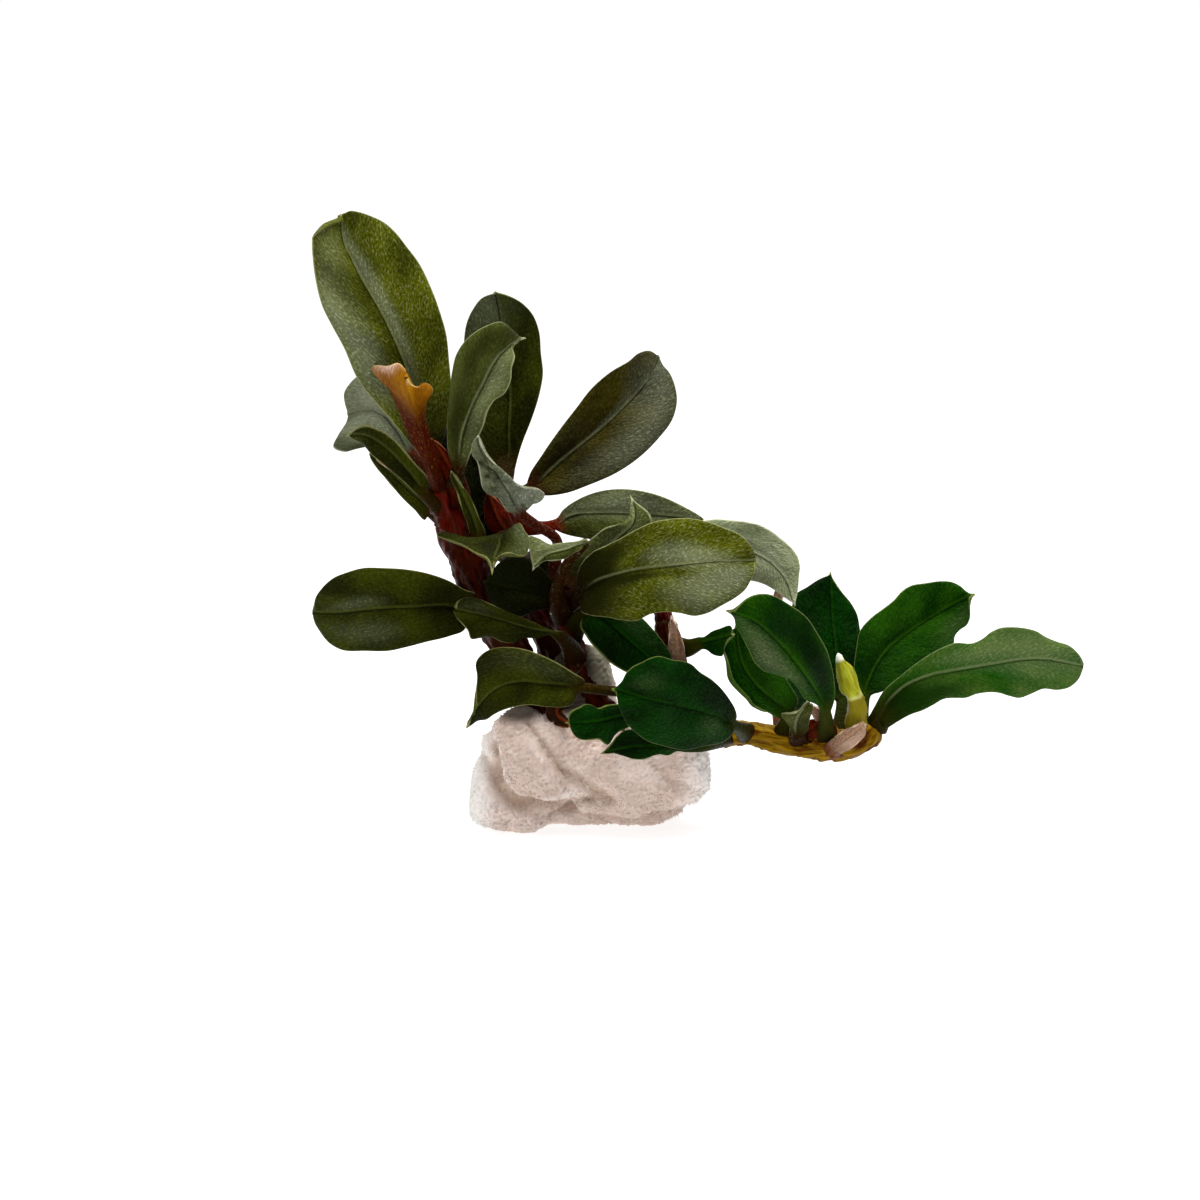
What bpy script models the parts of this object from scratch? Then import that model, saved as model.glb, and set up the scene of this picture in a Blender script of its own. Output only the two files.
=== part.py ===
"""A bucephalandra plant whose creeping rhizome is wrapped in a wad of white foam.

The tables are in millimetres and the model is in metres. +Z is up, +X is to the right
as the plant is seen from its front, and the front faces -Y. The origin is the middle of
the foam's flat underside.
"""
import functools
import math
from typing import NamedTuple

import bmesh
import bpy
import numpy as np
from mathutils import Matrix

MM = 0.001
GAP = 0.3                      # between pieces that touch
COLLECTION = "bucephalandra_in_foam"

# Every leaf and stem is laid out as it is seen from the front: across to the right and
# up from the origin on the sheet of paper that the view falls on, and then forward,
# which is towards the viewer along the ground.
VIEW_DISTANCE = 300.0
VIEW_ELEVATION = math.radians(10.0)
VIEW_MIDDLE = (0.9, 22.2)      # across and up of the point that the viewer looks at

PETIOLE_HALF_WIDTH = 0.55
PETIOLE_THICKNESS = 1.0
BLADE_THICKNESS = 0.55
TIP_HALF_WIDTH = 0.4
EDGE_ROUNDNESS = 1.6           # 1 is a pointed base and tip, 2 an elliptical one

LEAF_ROWS = 8                  # rows of points along a blade
PETIOLE_ROWS = 2
LEAF_COLUMNS = 5
CURVE_STEPS = 240              # steps along a curve when it is measured
TUBE_STEP = 1.6                # between the rings of a stem

RHIZOME = "rhizome"
LEFT, MIDDLE, CENTRE, RIGHT = "stem_left", "stem_middle", "stem_centre", "stem_right"


class Tube(NamedTuple):
    """A round stem: its points (across, up, forward, radius) from its foot to its end."""

    points: tuple
    carrier: str = None        # the stem it grows from, and how far along that one
    root: float = 0.0
    finish: str = "stem_red"


class Leaf(NamedTuple):
    """A leaf as it is seen: its midrib, its half widths, and how its halves lean.

    It grows from its carrier at root, a share of the carrier's length. spine holds its
    (across, up, forward) points after that, and the blade starts at the first of them,
    or at the one that blade_from counts. left and right are half widths at even steps
    along the blade, left and right of a walk from the stem to the tip. turn, fold and
    curl are slopes. turn brings the left half forward and takes the right half back,
    fold brings both margins forward, and curl takes them back towards their edges.
    """

    carrier: str
    root: float
    spine: tuple
    left: tuple
    right: tuple
    turn: tuple = (0.0, 0.0)
    fold: float = 0.2
    curl: float = 0.15
    tip: float = TIP_HALF_WIDTH
    blade_from: int = 1
    finish: str = "leaf_green"


TUBES = {
    RHIZOME: Tube(
        ((-5.6, 8.7, 0.0, 1.3), (-2.1, 8.6, 0.0, 1.5), (2.9, 8.4, 0.0, 1.5),
         (8.9, 8.3, 0.3, 1.5), (14.4, 8.2, 0.6, 1.5), (19.9, 7.8, 1.0, 1.6),
         (23.4, 8.0, 1.2, 1.5), (26.9, 8.4, 1.2, 1.5), (28.9, 9.4, 1.0, 1.2)),
        finish="rhizome_olive"),
    LEFT: Tube(
        ((-3.9, 9.0, 0.3, 1.7), (-4.8, 11.7, 0.4, 1.7), (-6.6, 15.0, 0.6, 1.7),
         (-8.6, 18.2, 0.8, 1.8), (-10.9, 22.2, 1.0, 1.8), (-12.3, 26.2, 1.2, 1.7),
         (-13.6, 30.2, 1.4, 1.5), (-15.0, 34.4, 1.8, 0.9)),
        carrier=RHIZOME),
    MIDDLE: Tube(
        ((-0.1, 9.2, -2.0, 1.3), (-1.3, 12.2, -2.4, 1.3), (-3.1, 15.7, -2.8, 1.3),
         (-4.6, 19.2, -3.1, 1.3), (-5.9, 23.2, -3.3, 1.3), (-6.9, 27.2, -3.4, 1.3),
         (-8.1, 30.7, -3.2, 1.2), (-8.8, 33.2, -3.1, 0.9)),
        carrier=RHIZOME),
    CENTRE: Tube(
        ((2.4, 8.9, 0.8, 1.3), (0.7, 11.7, 0.6, 1.3), (-0.9, 14.7, 0.4, 1.2),
         (-1.9, 17.7, 0.2, 1.1), (-2.4, 20.7, 0.0, 1.0), (-2.4, 23.2, -0.2, 0.8)),
        carrier=RHIZOME),
    RIGHT: Tube(
        ((9.9, 8.9, 1.0, 1.3), (9.3, 12.2, 1.3, 1.2), (8.7, 15.7, 1.6, 1.1),
         (8.1, 18.7, 1.4, 1.0), (7.7, 21.7, 1.0, 0.8)),
        carrier=RHIZOME),
    "bud": Tube(
        ((26.7, 10.2, 2.2, 0.9), (26.6, 11.2, 3.2, 1.0), (26.0, 12.8, 4.0, 1.0),
         (25.3, 14.7, 4.8, 0.95), (24.9, 15.8, 5.0, 0.7), (24.7, 16.8, 5.0, 0.3)),
        carrier=RHIZOME, root=0.915, finish="bud_green"),
}

LEAVES = {
    # left crown
    "leaf_tall_left": Leaf(
        LEFT, 1.0,
        ((-16.0, 36.9, 2.2), (-18.1, 43.7, 3.4), (-20.1, 47.2, 3.8), (-22.6, 52.2, 3.6),
         (-26.0, 60.4, 1.8)),
        (2.2, 4.1, 4.5, 4.6, 3.9), (2.6, 4.8, 5.3, 6.0, 5.5),
        fold=0.3, tip=1.6, finish="leaf_olive"),
    "leaf_tall_back": Leaf(
        MIDDLE, 1.0,
        ((-8.5, 35.4, -4.2), (-8.3, 39.2, -5.2), (-8.2, 43.2, -6.2), (-8.6, 47.7, -7.0),
         (-9.7, 52.8, -6.0)),
        (1.9, 3.3, 4.2, 3.3), (1.9, 3.1, 3.4, 3.3),
        tip=0.7, finish="leaf_dark"),
    "leaf_folded": Leaf(
        LEFT, 0.90,
        ((-13.2, 35.4, 4.0), (-13.0, 38.4, 4.6), (-12.2, 41.0, 5.6), (-10.8, 43.7, 6.4),
         (-9.3, 46.2, 6.4), (-7.2, 48.4, 5.0)),
        (1.0, 2.2, 3.6, 3.5), (1.3, 1.8, 2.1, 1.7),
        fold=0.6, curl=0.3, finish="leaf_grey"),
    "leaf_grey_left": Leaf(
        LEFT, 0.93,
        ((-17.9, 36.5, -0.4), (-20.1, 38.6, -2.0), (-22.3, 40.5, -3.4),
         (-24.6, 42.1, -4.2)),
        (2.0, 3.2, 3.4), (2.4, 3.2, 3.3),
        tip=0.8, finish="leaf_grey"),
    "leaf_small_left": Leaf(
        LEFT, 0.82,
        ((-16.9, 32.9, 2.8), (-19.1, 36.0, 3.6), (-21.6, 37.9, 2.8), (-24.0, 38.5, 1.6)),
        (1.0, 1.3, 1.2), (1.0, 1.3, 1.5),
        finish="leaf_green"),
    "leaf_low_left": Leaf(
        LEFT, 0.79,
        ((-16.1, 31.4, 0.9), (-18.6, 33.7, 0.2), (-22.0, 36.6, -1.0)),
        (1.1, 1.3, 1.0), (1.1, 1.3, 1.0),
        finish="leaf_dark"),
    "leaf_grey_curled": Leaf(
        CENTRE, 0.93,
        ((-3.6, 25.6, -0.2), (-3.4, 28.1, 0.8), (-5.5, 29.7, 2.4), (-7.1, 31.0, 4.2),
         (-7.7, 32.7, 6.0), (-9.4, 35.2, 7.4), (-11.7, 37.6, 7.6)),
        (1.6, 2.2, 1.6), (3.0, 1.5, 0.9),
        blade_from=4, finish="leaf_grey"),
    "leaf_upper_right": Leaf(
        MIDDLE, 0.93,
        ((-6.1, 33.4, -4.0), (-3.6, 35.9, -5.2), (-1.1, 38.6, -7.0), (1.4, 41.3, -9.0),
         (3.9, 44.0, -11.0), (6.4, 46.7, -12.0)),
        (1.3, 1.8, 2.3, 2.0), (3.1, 4.8, 6.3, 5.9),
        fold=0.3, tip=1.0, finish="leaf_dark"),
    "leaf_back_middle": Leaf(
        MIDDLE, 0.88,
        ((-3.9, 29.5, -4.4), (-2.1, 30.4, -5.0), (0.9, 30.8, -6.2), (5.9, 31.0, -8.2),
         (11.1, 30.3, -9.4)),
        (2.0, 2.4, 2.2, 1.6), (2.0, 2.5, 2.5, 2.0),
        finish="leaf_grey"),
    "leaf_to_viewer": Leaf(
        MIDDLE, 0.74,
        ((-8.9, 28.6, 2.0), (-8.7, 28.6, 6.0), (-9.0, 27.6, 9.0), (-9.4, 26.5, 12.0),
         (-9.8, 25.5, 14.0)),
        (2.6, 2.9, 2.2), (5.6, 5.6, 3.2),
        blade_from=2, finish="leaf_olive"),
    "leaf_to_viewer_small": Leaf(
        CENTRE, 0.80,
        ((-3.5, 22.6, 2.6), (-3.0, 24.8, 4.2), (-1.8, 26.6, 4.8), (-0.6, 27.9, 5.4),
         (-2.6, 27.2, 7.0), (-4.6, 26.4, 8.4), (-5.7, 25.5, 9.0)),
        (0.9, 1.1, 0.9), (0.9, 1.2, 1.1),
        blade_from=4, finish="leaf_grey"),
    "leaf_wide_left": Leaf(
        LEFT, 0.52,
        ((-12.5, 21.6, 3.4), (-14.7, 21.4, 4.8), (-17.4, 21.4, 6.0), (-20.0, 21.3, 6.6),
         (-22.6, 21.2, 6.6), (-25.3, 21.1, 5.8), (-27.9, 21.0, 4.4)),
        (2.7, 3.5, 4.1, 4.1, 3.6), (2.3, 3.6, 4.1, 4.2, 3.7),
        tip=1.0, finish="leaf_olive"),
    # centre
    "leaf_olive_left": Leaf(
        CENTRE, 0.55,
        ((-3.1, 18.6, 3.4), (-6.1, 19.3, 6.4), (-9.1, 20.2, 8.2), (-11.3, 20.8, 8.8),
         (-13.4, 21.1, 8.8)),
        (0.9, 1.3, 2.0, 2.2), (0.8, 1.0, 1.6, 1.6),
        tip=0.8, finish="leaf_olive"),
    "leaf_big_centre": Leaf(
        CENTRE, 0.92,
        ((-0.7, 22.8, 2.2), (0.4, 23.8, 3.2), (2.9, 24.7, 5.0), (6.9, 25.5, 6.8),
         (10.9, 26.1, 7.6), (16.3, 26.5, 6.8)),
        (3.2, 4.1, 4.7, 4.5, 3.5), (3.5, 4.5, 4.6, 5.0, 3.6),
        turn=(-0.2, -0.2), tip=0.6, finish="leaf_olive"),
    "leaf_hooked": Leaf(
        CENTRE, 1.0,
        ((-1.9, 24.2, -0.6), (-0.1, 26.2, -0.4), (2.1, 29.2, -0.6), (4.3, 32.0, -1.6)),
        (1.5, 2.0, 1.4), (1.6, 2.0, 1.5),
        finish="leaf_grey"),
    "leaf_pale_right": Leaf(
        RIGHT, 1.0,
        ((8.3, 23.2, -1.6), (10.3, 26.2, -2.8), (13.1, 28.2, -3.2), (16.6, 26.9, -2.0),
         (20.4, 22.5, 0.5)),
        (2.0, 2.2, 2.3, 2.3), (2.0, 2.4, 2.6, 2.2),
        tip=0.6, blade_from=2, finish="leaf_grey"),
    "leaf_below_centre": Leaf(
        CENTRE, 0.70,
        ((-0.1, 20.8, 2.0), (1.4, 20.2, 2.4), (3.9, 18.2, 3.4), (5.9, 16.4, 4.4),
         (7.1, 15.1, 4.8)),
        (2.0, 3.4, 2.7), (2.0, 3.0, 2.4),
        tip=1.2, finish="leaf_green"),
    "leaf_lower_left": Leaf(
        RIGHT, 0.40,
        ((6.4, 12.8, 5.6), (2.1, 13.2, 8.6), (-1.3, 13.4, 9.6), (-5.0, 14.0, 10.4),
         (-7.2, 14.2, 10.8), (-9.2, 13.6, 11.0), (-10.8, 12.2, 10.8),
         (-12.2, 10.2, 9.8)),
        (1.2, 2.0, 2.4, 2.0, 1.3), (1.6, 2.8, 3.3, 3.4, 2.4),
        blade_from=3, finish="leaf_olive"),
    "leaf_round_front": Leaf(
        RHIZOME, 0.605,
        ((13.7, 10.0, 6.5), (11.9, 10.8, 9.0), (9.5, 11.4, 11.2), (7.1, 11.9, 12.6),
         (4.7, 12.4, 13.4), (2.3, 13.1, 13.2)),
        (3.3, 4.2, 4.2, 3.2), (3.9, 4.5, 4.5, 3.5),
        tip=0.5, finish="leaf_green"),
    "leaf_small_front": Leaf(
        RIGHT, 0.24,
        ((8.6, 11.6, 5.0), (5.9, 11.2, 8.8), (3.1, 10.8, 10.2), (0.7, 10.2, 11.0),
         (-1.3, 9.0, 11.2)),
        (1.3, 1.8, 1.6), (1.2, 1.6, 1.5),
        blade_from=2, finish="leaf_green"),
    "leaf_dark_under": Leaf(
        RHIZOME, 0.545,
        ((10.9, 7.5, 7.0), (7.9, 7.4, 8.8), (4.9, 7.5, 9.6), (1.6, 7.2, 9.8)),
        (0.9, 1.0, 0.8), (0.8, 1.0, 0.8),
        finish="leaf_dark"),
    "leaf_tiny_right": Leaf(
        RIGHT, 0.70,
        ((10.0, 17.8, 3.0), (11.9, 18.2, 5.6), (14.3, 19.1, 7.6)),
        (0.9, 1.1, 0.8), (0.9, 1.1, 0.9),
        finish="leaf_green"),
    # right crown
    "leaf_front_right": Leaf(
        RHIZOME, 0.82,
        ((23.0, 11.2, 5.0), (21.6, 14.0, 7.6), (20.1, 16.2, 9.2), (18.4, 18.2, 10.4),
         (16.2, 20.2, 11.0), (13.7, 21.1, 10.6)),
        (1.6, 2.6, 2.9, 1.9), (2.4, 3.2, 3.9, 2.9),
        tip=0.5, finish="leaf_green"),
    "leaf_rolled": Leaf(
        RHIZOME, 0.70,
        ((19.4, 11.0, 3.0), (17.9, 11.9, 4.2), (15.9, 13.2, 5.0), (14.4, 15.0, 5.4),
         (13.8, 17.2, 5.4)),
        (1.8, 2.8, 2.6, 1.9), (1.4, 2.0, 2.0, 1.5),
        fold=0.2, finish="leaf_green"),
    "leaf_back_right": Leaf(
        RHIZOME, 0.865,
        ((25.1, 12.0, -1.5), (24.7, 15.2, -3.0), (24.2, 19.0, -5.0), (23.8, 24.5, -7.4)),
        (2.2, 3.6, 3.5), (1.9, 2.7, 2.2),
        tip=0.6, finish="leaf_green"),
    "leaf_broad_right": Leaf(
        RHIZOME, 0.92,
        ((27.3, 12.2, -0.6), (28.1, 15.0, -1.6), (29.3, 17.0, -2.6), (31.4, 19.0, -3.8),
         (34.4, 21.1, -5.0), (38.0, 22.5, -5.0)),
        (2.6, 3.5, 3.9, 2.4), (2.0, 3.2, 3.8, 2.4),
        blade_from=2, tip=0.5, finish="leaf_green"),
    "leaf_long_right": Leaf(
        RHIZOME, 0.985,
        ((29.4, 10.9, 1.6), (31.4, 12.8, 2.8), (33.9, 14.2, 4.0), (36.9, 15.2, 5.0),
         (40.9, 16.0, 5.4), (44.9, 16.2, 4.6), (49.2, 15.7, 3.0)),
        (1.3, 2.4, 2.9, 3.3, 2.2), (2.2, 2.3, 2.5, 3.4, 3.0),
        tip=0.5, finish="leaf_green"),
    "leaf_tiny_pale": Leaf(
        RHIZOME, 0.76,
        ((21.2, 9.2, 3.4), (21.2, 10.2, 5.0), (20.7, 12.0, 6.0)),
        (0.9, 1.1), (0.9, 1.1),
        finish="leaf_grey"),
    # behind the others
    "leaf_behind_left": Leaf(
        LEFT, 0.56,
        ((-13.0, 21.2, -3.0), (-15.5, 21.2, -7.0), (-18.0, 20.8, -11.0),
         (-20.5, 19.8, -14.0)),
        (2.0, 2.6, 2.2), (2.0, 2.6, 2.2),
        finish="leaf_dark"),
    "leaf_behind_centre": Leaf(
        CENTRE, 0.90,
        ((0.5, 22.5, -5.0), (3.5, 23.5, -9.5), (7.0, 24.0, -13.0), (10.5, 23.5, -15.5)),
        (2.2, 3.0, 2.4), (2.2, 3.0, 2.4),
        finish="leaf_dark"),
    "leaf_behind_crown": Leaf(
        RHIZOME, 0.75,
        ((20.4, 10.5, -3.5), (19.4, 14.0, -8.0), (18.4, 18.0, -12.0), (17.6, 21.0, -15.0)),
        (2.2, 3.2, 2.4), (2.2, 3.2, 2.4),
        finish="leaf_dark"),
    "leaf_behind_tall": Leaf(
        MIDDLE, 0.84,
        ((-9.2, 30.5, -8.0), (-10.9, 33.5, -12.0), (-12.0, 37.0, -15.0),
         (-12.6, 40.0, -16.5)),
        (1.6, 2.2, 1.8), (1.6, 2.2, 1.8),
        finish="leaf_dark"),
    "leaf_behind_right": Leaf(
        RHIZOME, 0.95,
        ((29.5, 11.5, -4.0), (32.0, 13.5, -8.0), (35.0, 15.2, -12.0), (38.5, 16.5, -15.0)),
        (1.6, 2.2, 1.8), (1.6, 2.2, 1.8),
        finish="leaf_dark"),
    # scales and sheaths
    "bract_brown": Leaf(
        LEFT, 0.92,
        ((-16.2, 35.8, 5.4), (-17.6, 39.2, 6.8), (-18.3, 41.9, 7.8), (-18.9, 44.6, 8.6)),
        (0.9, 1.1, 1.6), (0.9, 1.1, 1.6),
        fold=-0.4, tip=3.0, finish="bract_brown"),
    "cataphyll_pink": Leaf(
        RIGHT, 0.45,
        ((8.6, 16.0, 3.6), (8.5, 17.6, 3.9), (8.4, 19.6, 3.5)),
        (0.7, 0.6), (0.7, 0.6),
        finish="sheath_pink"),
    "sheath_right": Leaf(
        RHIZOME, 0.885,
        ((25.2, 8.6, 4.4), (25.2, 9.5, 4.9), (25.2, 10.4, 5.2)),
        (0.9, 1.0), (0.9, 1.0),
        fold=-0.3, tip=1.0, finish="sheath_pink"),
}

# The wad of foam: rounded folds of a soft block, each with its middle and its half
# sizes in x, y and z, and its tilt about the viewing direction in degrees.
FOAM_FOLDS = (
    ((-6.3, -0.5, 2.8), (6.0, 7.5, 4.6), 0.0),
    ((-4.6, 0.0, 8.2), (5.4, 6.2, 4.4), 0.0),
    ((3.6, -3.0, 6.4), (8.6, 5.0, 4.6), -6.0),
    ((2.2, 2.2, 5.8), (9.6, 6.6, 6.6), 0.0),
    ((-1.2, 0.6, 13.6), (4.2, 4.4, 4.6), 0.0),
)
CAGE_MARGIN = 1.2              # a subdivided cage shrinks, so it starts this much larger
FOAM_VOXEL = 1.7
CHANNEL_GAP = 1.5 * GAP        # round the stems, whose sides are flat between their edges
FLOOR_CUTTER = 40.0

# Base colour as red, green and blue on screen, and roughness.
FINISHES = {
    "leaf_olive": ((74, 80, 22), 0.40),
    "leaf_green": ((30, 60, 12), 0.38),
    "leaf_dark": ((34, 34, 10), 0.42),
    "leaf_grey": ((103, 111, 80), 0.45),
    "stem_red": ((60, 18, 8), 0.45),
    "rhizome_olive": ((110, 84, 24), 0.50),
    "bract_brown": ((120, 72, 18), 0.55),
    "sheath_pink": ((170, 130, 112), 0.50),
    "bud_green": ((145, 148, 42), 0.40),
    "foam_white": ((226, 221, 214), 0.95),
}


def seen(across, up, forward):
    """World points, in mm, of points seen at (across, up) and lying forward of y = 0."""
    across, up, forward = np.broadcast_arrays(across, up, forward)
    sine, cosine = math.sin(VIEW_ELEVATION), math.cos(VIEW_ELEVATION)
    eye_across, eye_up = VIEW_MIDDLE
    eye = np.array([eye_across,
                    eye_up * sine - VIEW_DISTANCE * cosine,
                    eye_up * cosine + VIEW_DISTANCE * sine])
    on_sheet = np.stack([across, up * sine, up * cosine], axis=-1)
    share = (-forward - eye[1]) / (on_sheet[..., 1] - eye[1])
    return eye + (on_sheet - eye) * share[..., None]


def smooth_at(knots, values, where):
    """A smooth curve through values at their knots, read at each place in where."""
    knots, values = np.asarray(knots, float), np.asarray(values, float)
    steps = np.diff(knots)[:, None]
    slopes = np.diff(values, axis=0) / steps
    tangents = np.empty_like(values)
    tangents[1:-1] = ((slopes[:-1] * steps[1:] + slopes[1:] * steps[:-1])
                      / (steps[:-1] + steps[1:]))
    tangents[0] = 1.5 * slopes[0] - 0.5 * tangents[1]
    tangents[-1] = 1.5 * slopes[-1] - 0.5 * tangents[-2]
    span = np.clip(np.searchsorted(knots, where, side="right") - 1, 0, len(steps) - 1)
    step = steps[span]
    f = (np.asarray(where)[:, None] - knots[span][:, None]) / step
    return ((2 * f**3 - 3 * f**2 + 1) * values[span]
            + (f**3 - 2 * f**2 + f) * step * tangents[span]
            + (3 * f**2 - 2 * f**3) * values[span + 1]
            + (f**3 - f**2) * step * tangents[span + 1])


class Curve:
    """A smooth curve through points of any dimension, read by its share of the length."""

    def __init__(self, points):
        points = np.asarray(points, float)
        chords = np.linalg.norm(np.diff(points[:, :3], axis=0), axis=1)
        self.knots = np.concatenate([[0.0], np.cumsum(chords)])
        self.points = points
        self.places = np.linspace(0.0, self.knots[-1], CURVE_STEPS)
        fine = smooth_at(self.knots, points, self.places)
        pieces = np.linalg.norm(np.diff(fine[:, :3], axis=0), axis=1)
        self.lengths = np.concatenate([[0.0], np.cumsum(pieces)])
        self.length = self.lengths[-1]

    def at(self, share):
        """The points at these shares of the length, from 0 to 1."""
        where = np.interp(np.asarray(share) * self.length, self.lengths, self.places)
        return smooth_at(self.knots, self.points, where)

    def share_of(self, number):
        """The share of the length at which the curve passes its point of this number."""
        return float(np.interp(self.knots[number], self.places, self.lengths)) / self.length


def tube_curve(tube):
    """The curve of a tube's axis and radius, which starts on its carrier's axis."""
    points = list(tube.points)
    if tube.carrier:
        carrier = tube_curve(TUBES[tube.carrier])
        if tube.root:
            foot = carrier.at([tube.root])[0]
        else:
            shares = np.linspace(0.0, 1.0, CURVE_STEPS)
            axis = carrier.at(shares)
            foot = axis[np.argmin(np.linalg.norm(axis[:, :3] - points[0][:3], axis=1))]
        points.insert(0, (*foot[:3], points[0][3]))
    return Curve(points)


@functools.cache
def carrier_core(name):
    """World points along a stem's axis, in mm, and its radius at each."""
    axis = tube_curve(TUBES[name]).at(np.linspace(0.0, 1.0, CURVE_STEPS))
    return seen(*axis[:, :3].T), axis[:, 3]


def first_clear(sections, carrier):
    """The number of the first section whose points are all clear of the carrier."""
    core, radii = carrier_core(carrier)
    apart = np.linalg.norm(sections[:, :, None] - core, axis=3) - radii
    clear = apart.min(axis=(1, 2)) >= GAP
    if not clear.any():
        raise ValueError(f"no section is clear of {carrier}")
    return int(np.argmax(clear))


class Blade:
    """The surface of a leaf, read by its share of the length and its place across."""

    def __init__(self, leaf):
        foot = tube_curve(TUBES[leaf.carrier]).at([leaf.root])[0][:3]
        self.leaf = leaf
        self.curve = Curve([tuple(foot), *leaf.spine])
        self.start = self.curve.share_of(leaf.blade_from)

    def half_width(self, along, widths):
        """Half the width as seen: the petiole's up to the blade, then the blade's own."""
        ends = np.array([PETIOLE_HALF_WIDTH, *widths, self.leaf.tip]) ** EDGE_ROUNDNESS
        knots = np.linspace(0.0, 1.0, len(ends))
        on_blade = np.clip((along - self.start) / (1.0 - self.start), 0.0, 1.0)
        squared = smooth_at(knots, ends[:, None], on_blade)[:, 0]
        least = min(self.leaf.tip, PETIOLE_HALF_WIDTH) ** EDGE_ROUNDNESS
        return np.maximum(squared, least) ** (1.0 / EDGE_ROUNDNESS)

    def at(self, along, across):
        """World points in mm, one row for each share along, one column for each place
        across from -1, the right margin, to 1, the left margin."""
        leaf, along, across = self.leaf, np.asarray(along), np.asarray(across)
        spine = self.curve.at(along)
        step = 0.5 / CURVE_STEPS
        ahead = self.curve.at(np.minimum(along + step, 1.0))
        behind = self.curve.at(np.maximum(along - step, 0.0))
        walk = (ahead - behind)[:, :2]
        walk /= np.linalg.norm(walk, axis=1, keepdims=True)
        to_left = np.stack([-walk[:, 1], walk[:, 0]], axis=1)
        half = np.where(across[None, :] >= 0.0,
                        self.half_width(along, leaf.left)[:, None],
                        self.half_width(along, leaf.right)[:, None])
        turn = np.interp(along, (self.start, 1.0), leaf.turn)[:, None]
        lean = turn * across + leaf.fold * np.abs(across) - leaf.curl * across**2
        side = half * across
        return seen(spine[:, 0:1] + to_left[:, 0:1] * side,
                    spine[:, 1:2] + to_left[:, 1:2] * side,
                    spine[:, 2:3] + half * lean)


def make_material(name):
    """A plain finish from the table above."""
    (red, green, blue), roughness = FINISHES[name]
    linear = [(channel / 255.0) ** 2.2 for channel in (red, green, blue)]
    material = bpy.data.materials.new(name)
    material.use_nodes = True
    shader = material.node_tree.nodes["Principled BSDF"]
    shader.inputs["Base Color"].default_value = (*linear, 1.0)
    shader.inputs["Roughness"].default_value = roughness
    shader.inputs["Metallic"].default_value = 0.0
    return material


def add_object(name, data, collection, finish=None):
    """A new object, with the material of its finish."""
    thing = bpy.data.objects.new(name, data)
    collection.objects.link(thing)
    if finish:
        material = bpy.data.materials.get(finish) or make_material(finish)
        data.materials.append(material)
    return thing


def leaf_start(blade):
    """The share of the length at which a petiole is clear of the stem it grows from."""
    shares = np.linspace(0.0, blade.start, CURVE_STEPS // 4)
    middle = blade.at(shares, [0.0])[:, 0]
    edges = blade.at(shares, [-1.0, 1.0])
    ahead = np.gradient(middle, axis=0)
    normal = np.cross(ahead, edges[:, 1] - edges[:, 0])
    normal *= 0.5 * PETIOLE_THICKNESS / np.linalg.norm(normal, axis=1, keepdims=True)
    corners = np.stack([edges[:, 0] + normal, edges[:, 0] - normal,
                        edges[:, 1] + normal, edges[:, 1] - normal], axis=1)
    return shares[first_clear(corners, blade.leaf.carrier)]


def make_leaf(name, leaf, collection):
    """A grid laid on the leaf's surface and given its thickness."""
    blade = Blade(leaf)
    eased = 0.5 - 0.5 * np.cos(np.linspace(0.0, math.pi, LEAF_ROWS))
    petiole = np.linspace(leaf_start(blade), blade.start, PETIOLE_ROWS, endpoint=False)
    along = np.concatenate([petiole, blade.start + (1.0 - blade.start) * eased])
    across = np.linspace(-1.0, 1.0, LEAF_COLUMNS)
    places = blade.at(along, across)

    mesh = bpy.data.meshes.new(name)
    shape = bmesh.new()
    bmesh.ops.create_grid(shape, x_segments=len(along) - 1, y_segments=LEAF_COLUMNS - 1,
                          size=1.0)
    petiole_corners = []
    for corner in shape.verts:
        row = round((corner.co.x + 1.0) / 2.0 * (len(along) - 1))
        column = round((corner.co.y + 1.0) / 2.0 * (LEAF_COLUMNS - 1))
        corner.co = places[row, column] * MM
        if row < PETIOLE_ROWS:
            petiole_corners.append(corner.index)
    shape.to_mesh(mesh)
    shape.free()
    mesh.shade_smooth()

    thing = add_object(name, mesh, collection, leaf.finish)
    group = thing.vertex_groups.new(name="petiole")
    group.add(petiole_corners, 1.0, "REPLACE")
    solid = thing.modifiers.new("thickness", "SOLIDIFY")
    solid.thickness = PETIOLE_THICKNESS * MM
    solid.offset = 0.0
    solid.vertex_group = group.name
    solid.thickness_vertex_group = BLADE_THICKNESS / PETIOLE_THICKNESS
    return thing


def tube_data(name, axis):
    """A round curve through world points with a radius each, in mm."""
    data = bpy.data.curves.new(name, "CURVE")
    data.dimensions = "3D"
    data.bevel_depth = MM
    data.bevel_resolution = 2
    data.use_fill_caps = True
    spline = data.splines.new("POLY")
    spline.points.add(len(axis) - 1)
    for point, (x, y, z, radius) in zip(spline.points, axis):
        point.co = (x * MM, y * MM, z * MM, 1.0)
        point.radius = radius
    spline.use_smooth = True
    return data


def tube_axis(curve, start=0.0):
    """World points and radii along a tube's curve, in mm."""
    count = max(4, round(curve.length * (1.0 - start) / TUBE_STEP) + 1)
    points = curve.at(np.linspace(start, 1.0, count))
    return np.column_stack([seen(*points[:, :3].T), points[:, 3]])


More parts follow.
